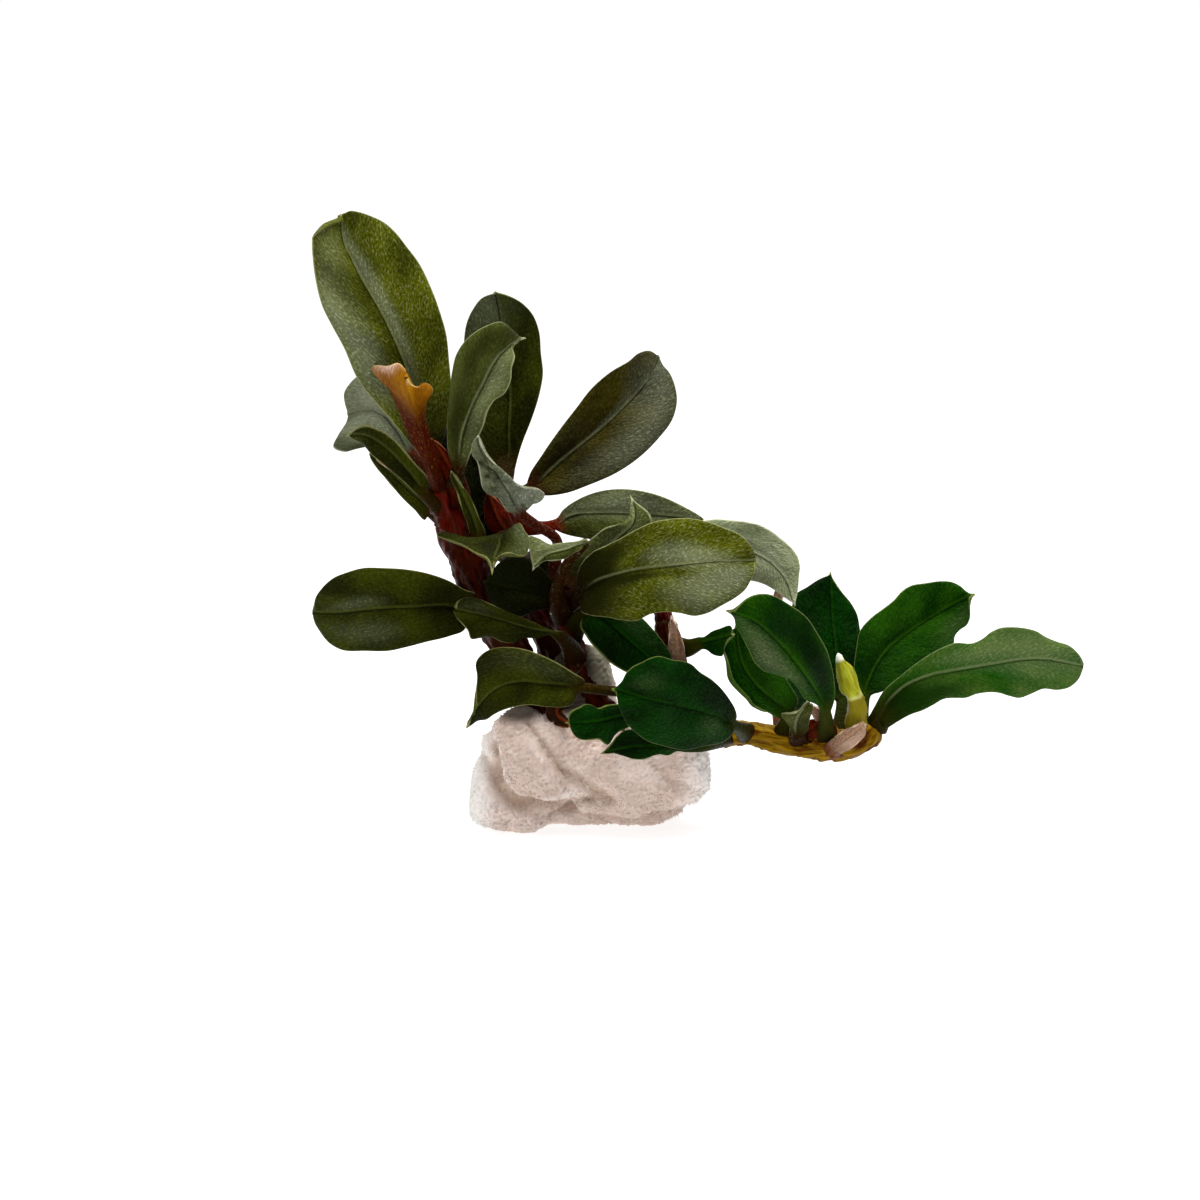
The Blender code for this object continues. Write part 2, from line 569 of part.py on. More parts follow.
def tube_start(curve, carrier):
    """The share of the length at which a tube is clear of the stem it grows from."""
    shares = np.linspace(0.0, 0.5, CURVE_STEPS // 2)
    points = curve.at(shares)
    middle = seen(*points[:, :3].T)
    ahead = np.gradient(middle, axis=0)
    ahead /= np.linalg.norm(ahead, axis=1, keepdims=True)
    side = np.cross(ahead, (0.0, 0.0, 1.0))
    side /= np.linalg.norm(side, axis=1, keepdims=True)
    other = np.cross(ahead, side)
    rings = []
    for turn in np.linspace(0.0, 2.0 * math.pi, 8, endpoint=False):
        rings.append(middle + points[:, 3:] * (side * math.cos(turn) + other * math.sin(turn)))
    return shares[first_clear(np.stack(rings, axis=1), carrier)]


def make_tube(name, tube, collection):
    """A stem, which starts clear of the stem that carries it."""
    curve = tube_curve(tube)
    start = tube_start(curve, tube.carrier) if tube.carrier else 0.0
    return add_object(name, tube_data(name, tube_axis(curve, start)), collection, tube.finish)


def as_mesh(thing, collection):
    """The mesh of a curve object with its caps welded, in place of the curve."""
    evaluated = thing.evaluated_get(bpy.context.evaluated_depsgraph_get())
    mesh = bpy.data.meshes.new_from_object(evaluated)
    shape = bmesh.new()
    shape.from_mesh(mesh)
    bmesh.ops.remove_doubles(shape, verts=shape.verts, dist=0.01 * MM)
    shape.to_mesh(mesh)
    shape.free()
    solid = add_object(thing.name + "_solid", mesh, collection)
    solid.matrix_world = thing.matrix_world
    bpy.data.objects.remove(thing)
    return solid


def mark_as_cutter(thing):
    thing.hide_render = True
    thing.display_type = "WIRE"
    return thing


def make_channel(name, cutters):
    """The room that a stem or the rhizome takes inside the foam, with the gap round it."""
    axis = tube_axis(tube_curve(TUBES[name]))
    axis[:, 3] += CHANNEL_GAP
    for end, inner in ((0, 1), (-1, -2)):
        outward = axis[end, :3] - axis[inner, :3]
        axis[end, :3] += CHANNEL_GAP * outward / np.linalg.norm(outward)
    curve = add_object(name + "_channel", tube_data(name + "_channel", axis), cutters)
    bpy.context.view_layer.update()
    return mark_as_cutter(as_mesh(curve, cutters))


def make_floor_cutter(cutters):
    """Everything under the foam's flat underside."""
    mesh = bpy.data.meshes.new("floor_cutter")
    shape = bmesh.new()
    bmesh.ops.create_cube(shape, size=FLOOR_CUTTER * MM)
    bmesh.ops.translate(shape, verts=shape.verts, vec=(0.0, 0.0, -0.5 * FLOOR_CUTTER * MM))
    shape.to_mesh(mesh)
    shape.free()
    return mark_as_cutter(add_object("floor_cutter", mesh, cutters))


def make_foam(collection, cutters):
    """The folds of foam fused into one wad, flat below and hollow along the stems."""
    mesh = bpy.data.meshes.new("foam_wrap")
    shape = bmesh.new()
    for middle, halves, tilt in FOAM_FOLDS:
        sizes = [2.0 * CAGE_MARGIN * half * MM for half in halves]
        place = (Matrix.Translation([value * MM for value in middle])
                 @ Matrix.Rotation(math.radians(tilt), 4, "Y")
                 @ Matrix.Diagonal((*sizes, 1.0)))
        bmesh.ops.create_cube(shape, size=1.0, matrix=place)
    shape.to_mesh(mesh)
    shape.free()
    foam = add_object("foam_wrap", mesh, collection, "foam_white")
    rounding = foam.modifiers.new("rounding", "SUBSURF")
    rounding.levels = 3
    rounding.render_levels = 3
    fusing = foam.modifiers.new("fusing", "REMESH")
    fusing.mode = "VOXEL"
    fusing.voxel_size = FOAM_VOXEL * MM
    softening = foam.modifiers.new("softening", "SMOOTH")
    softening.iterations = 3
    hollows = [make_floor_cutter(cutters)]
    for name in (RHIZOME, LEFT, MIDDLE, CENTRE, RIGHT):
        hollows.append(make_channel(name, cutters))
    for hollow in hollows:
        cut = foam.modifiers.new(hollow.name, "BOOLEAN")
        cut.operation = "DIFFERENCE"
        cut.object = hollow
    return foam


def main():
    for thing in list(bpy.data.objects):
        bpy.data.objects.remove(thing)
    collection = bpy.data.collections.new(COLLECTION)
    cutters = bpy.data.collections.new("cutters")
    bpy.context.scene.collection.children.link(collection)
    bpy.context.scene.collection.children.link(cutters)
    for name, tube in TUBES.items():
        make_tube(name, tube, collection)
    for name, leaf in LEAVES.items():
        make_leaf(name, leaf, collection)
    make_foam(collection, cutters)


if __name__ == "__main__":
    main()
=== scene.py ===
"""The looks of a bucephalandra plant whose creeping rhizome is wrapped in white foam.

The tables are in millimetres and the scene is in metres. +Z is up, +X is to the right
as the plant is seen from its front, and the front faces -Y. The origin is the middle of
the foam's flat underside.
"""

import math
from typing import NamedTuple

import bmesh
import bpy
import numpy as np
from mathutils import Matrix, Vector
from mathutils.kdtree import KDTree


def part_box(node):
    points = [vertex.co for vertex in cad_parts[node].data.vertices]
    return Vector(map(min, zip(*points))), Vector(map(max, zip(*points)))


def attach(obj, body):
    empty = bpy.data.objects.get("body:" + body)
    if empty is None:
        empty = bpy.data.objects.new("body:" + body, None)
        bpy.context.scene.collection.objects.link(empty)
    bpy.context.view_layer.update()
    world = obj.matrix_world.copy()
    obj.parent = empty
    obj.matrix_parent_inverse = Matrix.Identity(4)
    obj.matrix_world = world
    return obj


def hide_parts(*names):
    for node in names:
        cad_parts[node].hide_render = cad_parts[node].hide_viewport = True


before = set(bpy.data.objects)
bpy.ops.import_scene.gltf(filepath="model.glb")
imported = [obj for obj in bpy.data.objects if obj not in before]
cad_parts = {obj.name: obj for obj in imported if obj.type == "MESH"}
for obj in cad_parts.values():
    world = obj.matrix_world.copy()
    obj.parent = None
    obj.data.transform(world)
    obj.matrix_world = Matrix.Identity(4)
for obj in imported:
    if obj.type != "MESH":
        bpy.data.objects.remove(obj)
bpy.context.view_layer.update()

MM = 0.001
BODY = "root"

# Every leaf and stem is laid out as it is seen from the front: across to the right and
# up from the origin on a sheet that faces the viewer, and then forward, which is towards
# the viewer along the ground.
VIEW_DISTANCE = 300.0
VIEW_ELEVATION = math.radians(10.0)
VIEW_MIDDLE = (0.9, 22.2)      # across and up of the point that the viewer looks at
VIEW_WIDTH = 120.0             # what the picture takes in of that sheet

# What all leaves share.
PETIOLE_HALF_WIDTH = 0.5
PETIOLE_THICKNESS = 1.0
PETIOLE_TO_BLADE = (-0.06, 0.12)       # shares of the blade between which it flattens
FOOT_SPREAD, FOOT_SWELL = 1.3, 0.5     # shares by which it widens and thickens at its foot
FOOT_REACH = 3.5
BLADE_THICKNESS = 0.40
TIP_HALF_WIDTH = 0.4
HOOK_HALF_WIDTH = 0.16         # of the small point that ends a leaf
HOOK_ROWS = 5
HOOK_END, HOOK_TAPER = 0.03, 0.8       # its share of the tip's size at its end
EDGE_ROUNDNESS = 1.6           # 1 is a pointed base and tip, 2 an elliptical one
WAVE_FADE = (0.1, 0.5)         # shares of the blade where its waves begin and are full
ROLLED_MOST = 0.9              # share of a half that may roll up
COLUMN_CROWDING = 0.75         # of the columns at the midrib and margins, below 1
FLECK_TILT = math.radians(27.0)
HALVES_APART, LEAVES_APART = 40.0, 7.0     # in the noise, so that none look alike

# The relief of a leaf: how high it stands, and how far it reaches from the midrib or
# how large its patches are.
RIB_HEIGHT, RIB_REACH = 0.12, 0.13
GROOVE_DEPTH, GROOVE_REACH = 0.24, 0.55
KEEL_HEIGHT, KEEL_REACH = 0.38, 0.42
VEIN_HEIGHT, VEIN_STEP, VEIN_SLANT = 0.016, 1.7, 0.75
VEIN_DRIFT, VEIN_DRIFT_SIZE = 0.8, 2.5
BLISTERS = ((0.028, 0.8), (0.016, 0.35))
BLISTER_STRETCH = (0.7, 1.6)   # along the leaf and across it
WARP_HEIGHT, WARP_SIZE = 0.12, 3.2
FULL_RELIEF_AT = 2.0           # half width of a blade with all of its relief
RIB_TAPER = 0.7                # share of the midrib's relief that is gone at the tip
BACK_RELIEF = 0.5              # of a leaf's back, against that of its face

CURVE_STEPS = 240              # steps along a curve when it is measured
ROW_STEP = 0.2                 # between the rows of points along a leaf
LEAST_ROWS = 24
HALF_COLUMNS = 20              # columns of points on each half of a leaf
RING_STEP = 0.22               # between the rings of a stem
LEAST_RINGS = 12
RING_POINTS = 44

SMALL_LEAF_SEED, STEM_SEED = 50, 100

# The relief of a stem, as shares of its radius: the ledges of old leaf bases, which
# wind up it, and its ridges and grain, with the sizes of their patches in mm.
LEDGE_STEP, LEDGE_HEIGHT = 2.6, 0.13
LEDGE_TEAR, TEAR_SIZE = 0.30, 1.6
RIDGE_HEIGHT, RIDGE_SIZE = 0.10, 1.2
GRAIN_HEIGHT, GRAIN_SIZE = 0.05, 0.4
GRAIN_STRETCH = (2.2, 0.7)     # round the stem and along it
LEDGE_WANDER = 0.35            # how far, in turns of the winding, a ledge strays
SUNK = 1.0                     # mm of a stem that its carrier hides

# The wad of foam: the middle, half sizes and tilt of each of its pads, and the creases
# pressed into it. A crease has the (across, up) points that it passes as seen from the
# front, 1 if it is on the front or -1 if on the back, its depth, which is below 0 for a
# ridge, and its reach.
FOAM_PADS = (
    ((-7.9, 0.2, 3.3), (4.0, 5.6, 3.5), 14.0),
    ((-5.5, -2.9, 7.1), (5.0, 3.6, 3.4), 48.0),
    ((-1.6, -2.2, 8.0), (4.4, 3.6, 2.8), 30.0),
    ((4.6, -3.0, 6.0), (7.0, 4.0, 3.7), -6.0),
    ((1.2, 2.4, 5.2), (8.6, 5.4, 5.2), 0.0),
    ((-0.7, 1.6, 12.4), (3.0, 2.8, 5.0), -8.0),
)
FOAM_CREASES = (
    (((-5.6, 10.6), (-4.4, 7.9), (-3.1, 6.1), (-1.3, 4.5), (0.5, 3.5), (1.8, 2.4)),
     1, 0.8, 0.8),
    (((-9.9, 8.2), (-9.7, 6.4), (-9.1, 4.1), (-7.9, 2.8), (-5.7, 2.0), (-3.1, 1.7), (-0.1, 2.2)),
     1, 1.0, 0.8),
    (((-9.1, 8.2), (-8.6, 5.4), (-7.9, 3.9), (-6.7, 3.1), (-4.3, 2.7), (-1.8, 3.2)),
     1, -0.4, 0.3),
    (((4.2, 9.4), (6.0, 6.4), (8.6, 4.2), (11.4, 3.2)), 1, 0.4, 0.7),
    (((-10.0, 9.6), (-5.4, 7.4), (0.0, 6.6), (5.0, 7.4), (9.6, 9.4)), -1, 0.8, 0.7),
    (((-7.0, 1.8), (-3.0, 4.2), (2.0, 4.8), (6.2, 3.6), (9.0, 1.6)), -1, 0.7, 0.6),
)
FOAM_FULLNESS = 1.04           # of each pad, whose corners the rounding takes in
FOAM_ROUNDING, FOAM_SOFTENING = 3, 25      # rounds of each
FOAM_VOXEL = 0.18
FOAM_EDGE = 0.4                # how softly the sides of its space hold the foam in
FOAM_PROUD = 0.6               # how far its nap may stand above that space
# The height, size and seed of its swellings, and of the knobs of its nap, whose heights
# are shares of the nap's height.
FOAM_SWELLINGS = ((0.22, 3.0, 61), (0.10, 1.2, 62))
NAP_KNOBS = ((0.8, 0.17, 63), (0.3, 0.35, 64))
NAP_HEIGHT, NAP_WAVES = 0.12, 60
FIBRE_COUNT, FIBRE_LENGTH, FIBRE_RADIUS = 12000, 0.4, 0.06
FIBRE_SPREAD, FIBRE_SUNK = 0.5, 0.2        # how far one leans, and the share of it inside
FIBRE_CORNERS = (0.0, 2.1, 4.2)            # turns, in radians, of the corners at its foot
FIBRES_BELOW = 11.8            # the stems rise out of the foam above this height
FIBRE_SEED = 17
LIT_CREST = 0.45             # height of a ridge that the painted light makes quite white
# Where its painted light and shade change, in mm: lit white at both ends, shaded on top
# and shaded darkest between the stems. A change begins at the first and is full at the second.
LIT_LEFT, LIT_RIGHT = (-8.5, -11.5), (8.0, 12.0)
TOP_SHADE_UP, TOP_SHADE_FORWARD = (11.5, 14.5), (3.5, 0.5)
DEEP_SHADE_UP, DEEP_SHADE_FORWARD, DEEP_SHADE_ACROSS = (10.8, 12.0), (3.5, 1.5), (1.0, -0.5)

FLOOR_SIZE, FLOOR_GLOW = 4.0, 0.78
# Each light: its place in metres, the width of its disk in metres and its watts.
LIGHTS = {
    "key": ((0.06, -0.02, 0.45), 0.36, 3.4),
    "fill": ((-0.30, -0.34, 0.26), 0.3, 0.7),
}
LIGHT_TARGET = (0.0, 0.0, 0.03)
WORLD_FRONT, WORLD_BACK = 0.22, 1.0    # strength of the light from either side

WHITE = (1.0, 1.0, 1.0, 1.0)
OLIVE_GLOSS = (0.80, 0.85, 0.15, 1.0)
GREEN_GLOSS = (0.25, 0.85, 0.08, 1.0)
RED_GLOSS = (0.95, 0.35, 0.12, 1.0)
LEAF_SPECULAR, STEM_SPECULAR, DULL_SPECULAR = 0.07, 0.14, 0.1
LEAF_SHADE = 0.35              # of a leaf's dark colour, in its shade

RHIZOME = "rhizome"
LEFT, MIDDLE, CENTRE, RIGHT = "stem_left", "stem_middle", "stem_centre", "stem_right"


class Tube(NamedTuple):
    """A round stem: its points (across, up, forward, radius) from its foot to its end."""

    points: tuple
    carrier: str = None        # the stem it grows from, and how far along that one
    root: float = 0.0
    finish: str = "stem_red"


class Leaf(NamedTuple):
    """A leaf as it is seen: its midrib, its margins, and how its halves lean.

    It grows from its carrier at root, a share of the carrier's length. spine holds its
    (across, up, forward) points after that, and the blade starts at the first of them,
    or at the one that blade_from counts. left and right, as on a walk from the stem to
    the tip, hold the (across, up) points that the margin passes, or else half widths at
    even steps along the blade, which tip then ends. turn, fold and curl are slopes. turn
    brings the left half forward and takes the right half back, fold brings both margins
    forward, and curl takes them back towards their edges. finish would name its material
    slot, but it is not used.
    """

    carrier: str
    root: float
    spine: tuple
    left: tuple
    right: tuple
    turn: float = 0.0
    fold: float = 0.2
    curl: float = 0.15
    tip: float = TIP_HALF_WIDTH
    blade_from: int = 1
    finish: str = "leaf_green"


class Roll(NamedTuple):
    """A stretch of a leaf's margin that rolls up towards the viewer."""

    side: int                  # 1 is the left margin and -1 the right one
    start: float               # shares of the blade
    end: float
    length: float              # of blade taken up by the roll
    radius: float


class Dress(NamedTuple):
    """What a leaf has beyond its plain form."""

    look: str
    wave: tuple = (0.2, 2.0, 0.0)      # margins' height in mm, waves, and their phase
    rolls: tuple = ()
    hook: float = 0.5                  # length of the point at the tip
    # Patches of painted grey sheen (along, across, reach along, reach across, amount), and
    # of painted shade, darker than the leaf, where the amount is below 0.
    painted_sheen_and_shade: tuple = ()
    rims: tuple = (0.07, 0.07)         # widths of the pale left and right margins, partly a painted glint
    emboss: float = 1.0                # how high the relief of its front is


TUBES = {
    RHIZOME: Tube(
        ((-5.6, 8.7, 0.0, 1.3), (-2.1, 8.6, 0.0, 1.5), (2.9, 8.4, 0.0, 1.5),
         (8.9, 8.4, 0.3, 1.4), (14.4, 8.8, 0.6, 1.2), (17.4, 8.6, 0.8, 1.25),
         (19.9, 8.1, 1.0, 1.45), (23.4, 7.9, 1.2, 1.5), (26.2, 8.0, 1.2, 1.5),
         (27.8, 8.8, 1.1, 1.3), (28.9, 9.8, 1.0, 1.0)),
        finish="rhizome_olive"),
    LEFT: Tube(
        ((-3.9, 9.0, 0.3, 1.7), (-4.8, 11.7, 0.4, 1.7), (-6.6, 15.0, 0.6, 1.7),
         (-8.6, 18.2, 0.8, 1.8), (-10.9, 22.2, 1.0, 1.8), (-12.3, 26.2, 1.2, 1.8),
         (-13.5, 30.2, 1.4, 1.9), (-14.7, 33.4, 1.6, 1.5), (-15.3, 35.4, 1.8, 0.9)),
        carrier=RHIZOME),
    MIDDLE: Tube(
        ((-0.1, 9.2, -2.0, 1.3), (-1.3, 12.2, -2.4, 1.3), (-3.1, 15.7, -2.8, 1.3),
         (-4.8, 19.2, -3.1, 1.4), (-6.6, 23.2, -3.3, 1.5), (-8.0, 27.2, -3.4, 1.5),
         (-9.1, 30.7, -3.2, 1.5), (-9.2, 33.4, -3.1, 1.1)),
        carrier=RHIZOME),
    CENTRE: Tube(
        ((2.4, 8.9, 0.8, 1.3), (0.7, 11.7, 0.6, 1.3), (-0.9, 14.7, 0.4, 1.2),
         (-1.9, 17.7, 0.2, 1.1), (-2.4, 20.7, 0.0, 1.1), (-2.4, 23.2, -0.2, 0.9)),
        carrier=RHIZOME),
    RIGHT: Tube(
        ((9.9, 8.9, 1.0, 1.3), (9.3, 12.2, 1.3, 1.2), (8.6, 15.7, 1.6, 1.1),
         (7.6, 18.7, 1.4, 1.0), (7.0, 21.7, 1.0, 0.8)),
        carrier=RHIZOME),
    "bud": Tube(
        ((26.6, 10.2, 2.2, 1.0), (26.6, 11.4, 3.2, 0.95), (26.3, 12.6, 3.8, 0.75),
         (25.8, 13.7, 4.3, 0.9), (25.3, 15.2, 4.7, 0.75), (24.9, 16.2, 4.9, 0.45),
         (24.7, 16.9, 5.0, 0.3)),
        carrier=RHIZOME, root=0.915, finish="bud_green"),
}

LEAVES = {
    # left crown
    "leaf_tall_left": Leaf(
        LEFT, 1.0,
        ((-16.0, 36.9, 2.2), (-17.4, 42.0, 3.2), (-18.9, 46.3, 3.8), (-20.9, 50.7, 3.9),
         (-23.4, 55.1, 3.2), (-24.8, 58.2, 2.4), (-25.0, 60.6, 1.8)),
        ((-17.9, 38.0), (-20.5, 40.8), (-23.4, 44.4), (-24.7, 47.4), (-26.0, 49.8),
         (-26.8, 51.4), (-27.5, 54.0), (-27.8, 56.1), (-27.9, 57.6), (-27.8, 59.0),
         (-27.2, 60.1), (-26.4, 60.6), (-25.5, 60.8)),
        ((-14.6, 39.5), (-14.0, 43.0), (-14.2, 46.3), (-14.5, 48.9), (-15.0, 50.7),
         (-15.9, 53.2), (-17.4, 56.2), (-18.4, 57.5), (-19.5, 58.9), (-20.6, 59.9),
         (-22.0, 60.6), (-23.2, 61.0), (-24.2, 61.1)),
        fold=0.3, finish="leaf_olive"),
    "leaf_tall_back": Leaf(
        MIDDLE, 1.0,
        ((-8.5, 35.4, -4.2), (-8.3, 39.2, -5.2), (-8.2, 43.2, -6.2), (-8.6, 47.7, -7.0),
         (-9.5, 52.9, -6.0)),
        ((-9.9, 35.8), (-11.2, 38.4), (-12.0, 42.0), (-12.5, 45.5), (-12.7, 48.1),
         (-12.4, 50.0), (-11.8, 51.3), (-10.9, 52.4)),
        ((-7.0, 37.8), (-5.9, 40.4), (-5.1, 43.0), (-4.8, 44.8), (-5.0, 46.9),
         (-5.2, 49.1), (-5.8, 50.7), (-6.9, 51.9), (-8.2, 52.6)),
        finish="leaf_dark"),
    "leaf_folded": Leaf(
        LEFT, 0.90,
        ((-13.2, 35.4, 4.0), (-12.9, 38.4, 4.6), (-12.1, 41.0, 5.6), (-10.8, 43.7, 6.4),
         (-9.3, 46.4, 6.4), (-7.1, 48.3, 5.0)),
        ((-14.2, 37.0), (-14.4, 39.5), (-14.2, 42.4), (-13.9, 45.0), (-13.5, 46.7),
         (-12.7, 48.0), (-11.6, 49.0), (-10.3, 49.7), (-8.9, 50.0), (-8.0, 49.3)),
        ((-12.0, 37.0), (-11.2, 38.6), (-10.7, 39.7), (-10.3, 41.1), (-9.6, 42.2),
         (-8.7, 42.8), (-8.0, 44.2), (-7.9, 45.4), (-7.6, 46.6), (-7.9, 47.6)),
        fold=0.6, curl=0.3, finish="leaf_grey"),
    "leaf_grey_left": Leaf(
        LEFT, 0.93,
        ((-17.9, 36.8, -0.4), (-19.6, 39.4, -1.6), (-20.9, 40.8, -2.4), (-22.4, 41.2, -3.2),
         (-24.2, 40.8, -4.0)),
        ((-19.0, 36.2), (-20.6, 37.0), (-22.0, 37.5), (-23.4, 37.3), (-24.7, 37.0),
         (-25.8, 37.5), (-25.4, 38.4), (-24.6, 39.4)),
        ((-18.3, 38.8), (-20.3, 42.4), (-21.9, 44.4), (-23.3, 44.6), (-24.1, 43.9),
         (-24.7, 42.9), (-24.6, 41.8)),
        finish="leaf_grey"),
    "leaf_small_left": Leaf(
        LEFT, 0.82,
        ((-16.6, 32.9, 2.8), (-18.4, 35.2, 3.6), (-20.4, 37.3, 3.4), (-22.4, 38.6, 2.6),
         (-24.0, 38.7, 1.6)),
        ((-17.6, 33.0), (-19.0, 34.3), (-20.6, 35.6), (-22.0, 36.8), (-22.9, 37.9),
         (-23.7, 38.3)),
        ((-16.3, 34.2), (-17.6, 35.9), (-19.3, 37.9), (-21.1, 39.2), (-22.7, 39.7),
         (-23.6, 39.3)),
        finish="leaf_green"),
    "leaf_low_left": Leaf(
        LEFT, 0.79,
        ((-15.9, 31.2, 0.9), (-18.2, 33.2, 0.4), (-20.0, 34.9, -0.2), (-22.0, 36.7, -1.0)),
        ((-16.4, 30.4), (-17.6, 31.3), (-19.2, 32.8), (-20.6, 34.4), (-21.5, 35.6)),
        ((-16.0, 32.2), (-17.2, 33.3), (-18.8, 34.7), (-20.4, 36.0), (-21.5, 36.6)),
        finish="leaf_dark"),
    "leaf_grey_curled": Leaf(
        CENTRE, 0.93,
        ((-3.6, 25.6, -0.2), (-3.4, 28.1, 0.8), (-5.5, 29.7, 2.4), (-7.1, 31.0, 4.2),
         (-8.2, 33.0, 6.0), (-9.6, 35.2, 7.0), (-10.9, 37.0, 7.4), (-11.3, 38.5, 7.6)),
        ((-7.6, 30.8), (-8.4, 31.1), (-8.9, 31.8), (-9.3, 32.4), (-10.1, 32.7),
         (-10.8, 33.3), (-11.1, 34.6), (-11.4, 36.0), (-11.9, 36.8), (-11.8, 37.9)),
        ((-6.3, 31.4), (-5.7, 31.9), (-4.9, 32.2), (-4.6, 32.7), (-5.2, 33.3),
         (-6.4, 33.4), (-7.3, 33.8), (-8.2, 34.6), (-9.4, 35.7), (-10.2, 36.5),
         (-10.8, 37.5)),
        blade_from=4, finish="leaf_grey"),
    "leaf_upper_right": Leaf(
        MIDDLE, 0.93,
        ((-6.0, 33.3, -4.0), (-3.5, 35.6, -5.2), (-1.0, 37.7, -7.0), (0.9, 39.2, -8.4),
         (3.2, 41.4, -10.0), (5.2, 43.6, -11.0), (6.7, 46.5, -12.0)),
        ((-6.1, 34.6), (-4.9, 36.7), (-3.1, 39.3), (-1.4, 41.5), (0.0, 43.3), (2.1, 45.1),
         (3.8, 46.1), (4.8, 46.9), (5.9, 47.1)),
        ((-4.4, 32.7), (-2.5, 32.9), (-0.2, 33.7), (2.7, 35.0), (5.0, 36.6), (6.7, 38.3),
         (8.2, 40.4), (8.6, 42.3), (8.4, 43.6), (7.8, 45.0), (7.2, 45.7)),
        fold=0.3, finish="leaf_dark"),
    "leaf_back_middle": Leaf(
        MIDDLE, 0.88,
        ((-3.7, 29.7, -4.4), (-2.1, 30.6, -5.0), (0.9, 30.9, -6.2), (5.0, 30.8, -8.0),
         (11.1, 30.3, -9.4)),
        ((-3.5, 30.3), (-2.8, 31.2), (-1.4, 32.2), (1.0, 33.1), (3.3, 33.3), (5.6, 33.0),
         (7.5, 32.4), (9.5, 31.4)),
        ((-3.1, 29.0), (-0.9, 28.4), (2.0, 28.1), (5.0, 28.0), (8.0, 28.4), (10.0, 29.3)),
        finish="leaf_grey"),
    "leaf_to_viewer": Leaf(
        MIDDLE, 0.74,
        ((-8.9, 28.4, 2.0), (-8.8, 28.6, 6.0), (-9.1, 27.6, 9.0), (-9.5, 26.5, 12.0),
         (-9.9, 25.4, 14.0)),
        ((-7.9, 29.1), (-7.1, 29.9), (-6.6, 29.1), (-6.1, 28.3), (-6.2, 27.4),
         (-6.6, 26.6), (-7.2, 26.6), (-8.0, 26.9), (-8.8, 26.8), (-9.5, 26.4)),
        ((-10.8, 28.4), (-12.8, 28.4), (-14.2, 28.6), (-14.9, 29.0), (-15.5, 28.7),
         (-14.9, 28.4), (-13.9, 28.1), (-12.9, 27.7), (-11.6, 26.9), (-10.4, 26.3)),
        blade_from=2, finish="leaf_olive"),
    "leaf_to_viewer_small": Leaf(
        CENTRE, 0.80,
        ((-3.5, 22.6, 2.6), (-3.0, 24.8, 4.2), (-1.8, 26.6, 4.8), (-0.6, 27.9, 5.4),
         (-2.6, 27.2, 7.0), (-4.6, 26.6, 8.4), (-5.7, 25.5, 9.0)),
        ((-0.9, 27.4), (-1.7, 26.9), (-2.7, 26.3), (-3.9, 26.1), (-4.9, 26.1)),
        ((-0.6, 28.3), (-1.4, 28.1), (-3.2, 27.9), (-4.7, 27.8), (-5.5, 28.4), (-6.2, 28.6),
         (-6.2, 27.5), (-6.0, 26.5)),
        blade_from=4, finish="leaf_grey"),
    "leaf_wide_left": Leaf(
        LEFT, 0.52,
        ((-12.5, 21.4, 3.4), (-14.7, 21.6, 4.8), (-17.4, 21.5, 6.0), (-20.0, 21.4, 6.6),
         (-22.6, 21.2, 6.6), (-25.3, 20.9, 5.8), (-27.7, 21.0, 4.4)),
        ((-12.6, 19.4), (-14.2, 18.6), (-16.5, 18.0), (-18.4, 17.5), (-20.3, 17.1),
         (-22.4, 17.1), (-25.2, 17.3), (-26.3, 18.0), (-27.0, 18.9), (-27.6, 20.0)),
        ((-11.6, 22.7), (-12.5, 23.1), (-14.2, 24.1), (-16.1, 24.8), (-18.8, 25.3),
         (-20.7, 25.4), (-22.8, 25.4), (-24.6, 24.9), (-25.6, 24.5), (-26.9, 23.4),
         (-27.6, 22.3)),
        finish="leaf_olive"),
    # centre
    "leaf_olive_left": Leaf(
        CENTRE, 0.55,
        ((-3.1, 18.6, 3.4), (-6.1, 19.3, 6.4), (-9.1, 20.2, 8.2), (-11.3, 20.8, 8.8),
         (-13.6, 21.3, 8.8)),
        ((-3.4, 18.2), (-4.4, 18.9), (-5.2, 18.5), (-6.8, 18.4), (-8.0, 17.9), (-8.9, 18.0),
         (-10.0, 18.5), (-11.2, 18.4), (-12.0, 18.3), (-12.3, 19.1), (-12.9, 19.8),
         (-13.5, 20.6)),
        ((-4.2, 19.2), (-5.6, 19.9), (-8.1, 20.9), (-10.2, 21.9), (-11.5, 22.4),
         (-12.7, 22.4), (-13.4, 22.0)),
        finish="leaf_olive"),
    "leaf_big_centre": Leaf(
        CENTRE, 0.92,
        ((-0.9, 22.9, 2.2), (0.2, 23.8, 3.2), (2.2, 24.6, 5.0), (4.7, 25.2, 6.2),
         (7.2, 25.5, 7.0), (9.8, 25.8, 7.5), (12.3, 26.0, 7.5), (16.4, 26.1, 6.8)),
        ((-1.0, 25.6), (0.2, 27.0), (1.6, 27.7), (3.0, 28.4), (4.6, 29.3), (6.2, 30.0),
         (7.8, 30.3), (9.2, 30.4), (10.5, 30.3), (11.8, 30.0), (13.4, 29.4), (14.8, 28.8),
         (15.6, 28.1), (16.2, 27.2)),
        ((-1.1, 21.2), (0.0, 20.7), (1.5, 20.5), (3.0, 20.2), (4.5, 20.1), (6.0, 20.8),
         (7.4, 21.0), (8.8, 20.9), (10.4, 20.6), (11.7, 20.9), (13.0, 21.6), (14.4, 22.4),
         (15.4, 23.2), (16.0, 24.2), (16.4, 25.1)),
        turn=-0.2, finish="leaf_olive"),
    "leaf_hooked": Leaf(
        CENTRE, 1.0,
        ((-1.9, 24.2, -0.6), (0.2, 26.0, -0.4), (2.5, 28.2, -0.2), (4.4, 30.2, -0.6),
         (4.2, 32.0, -1.6)),
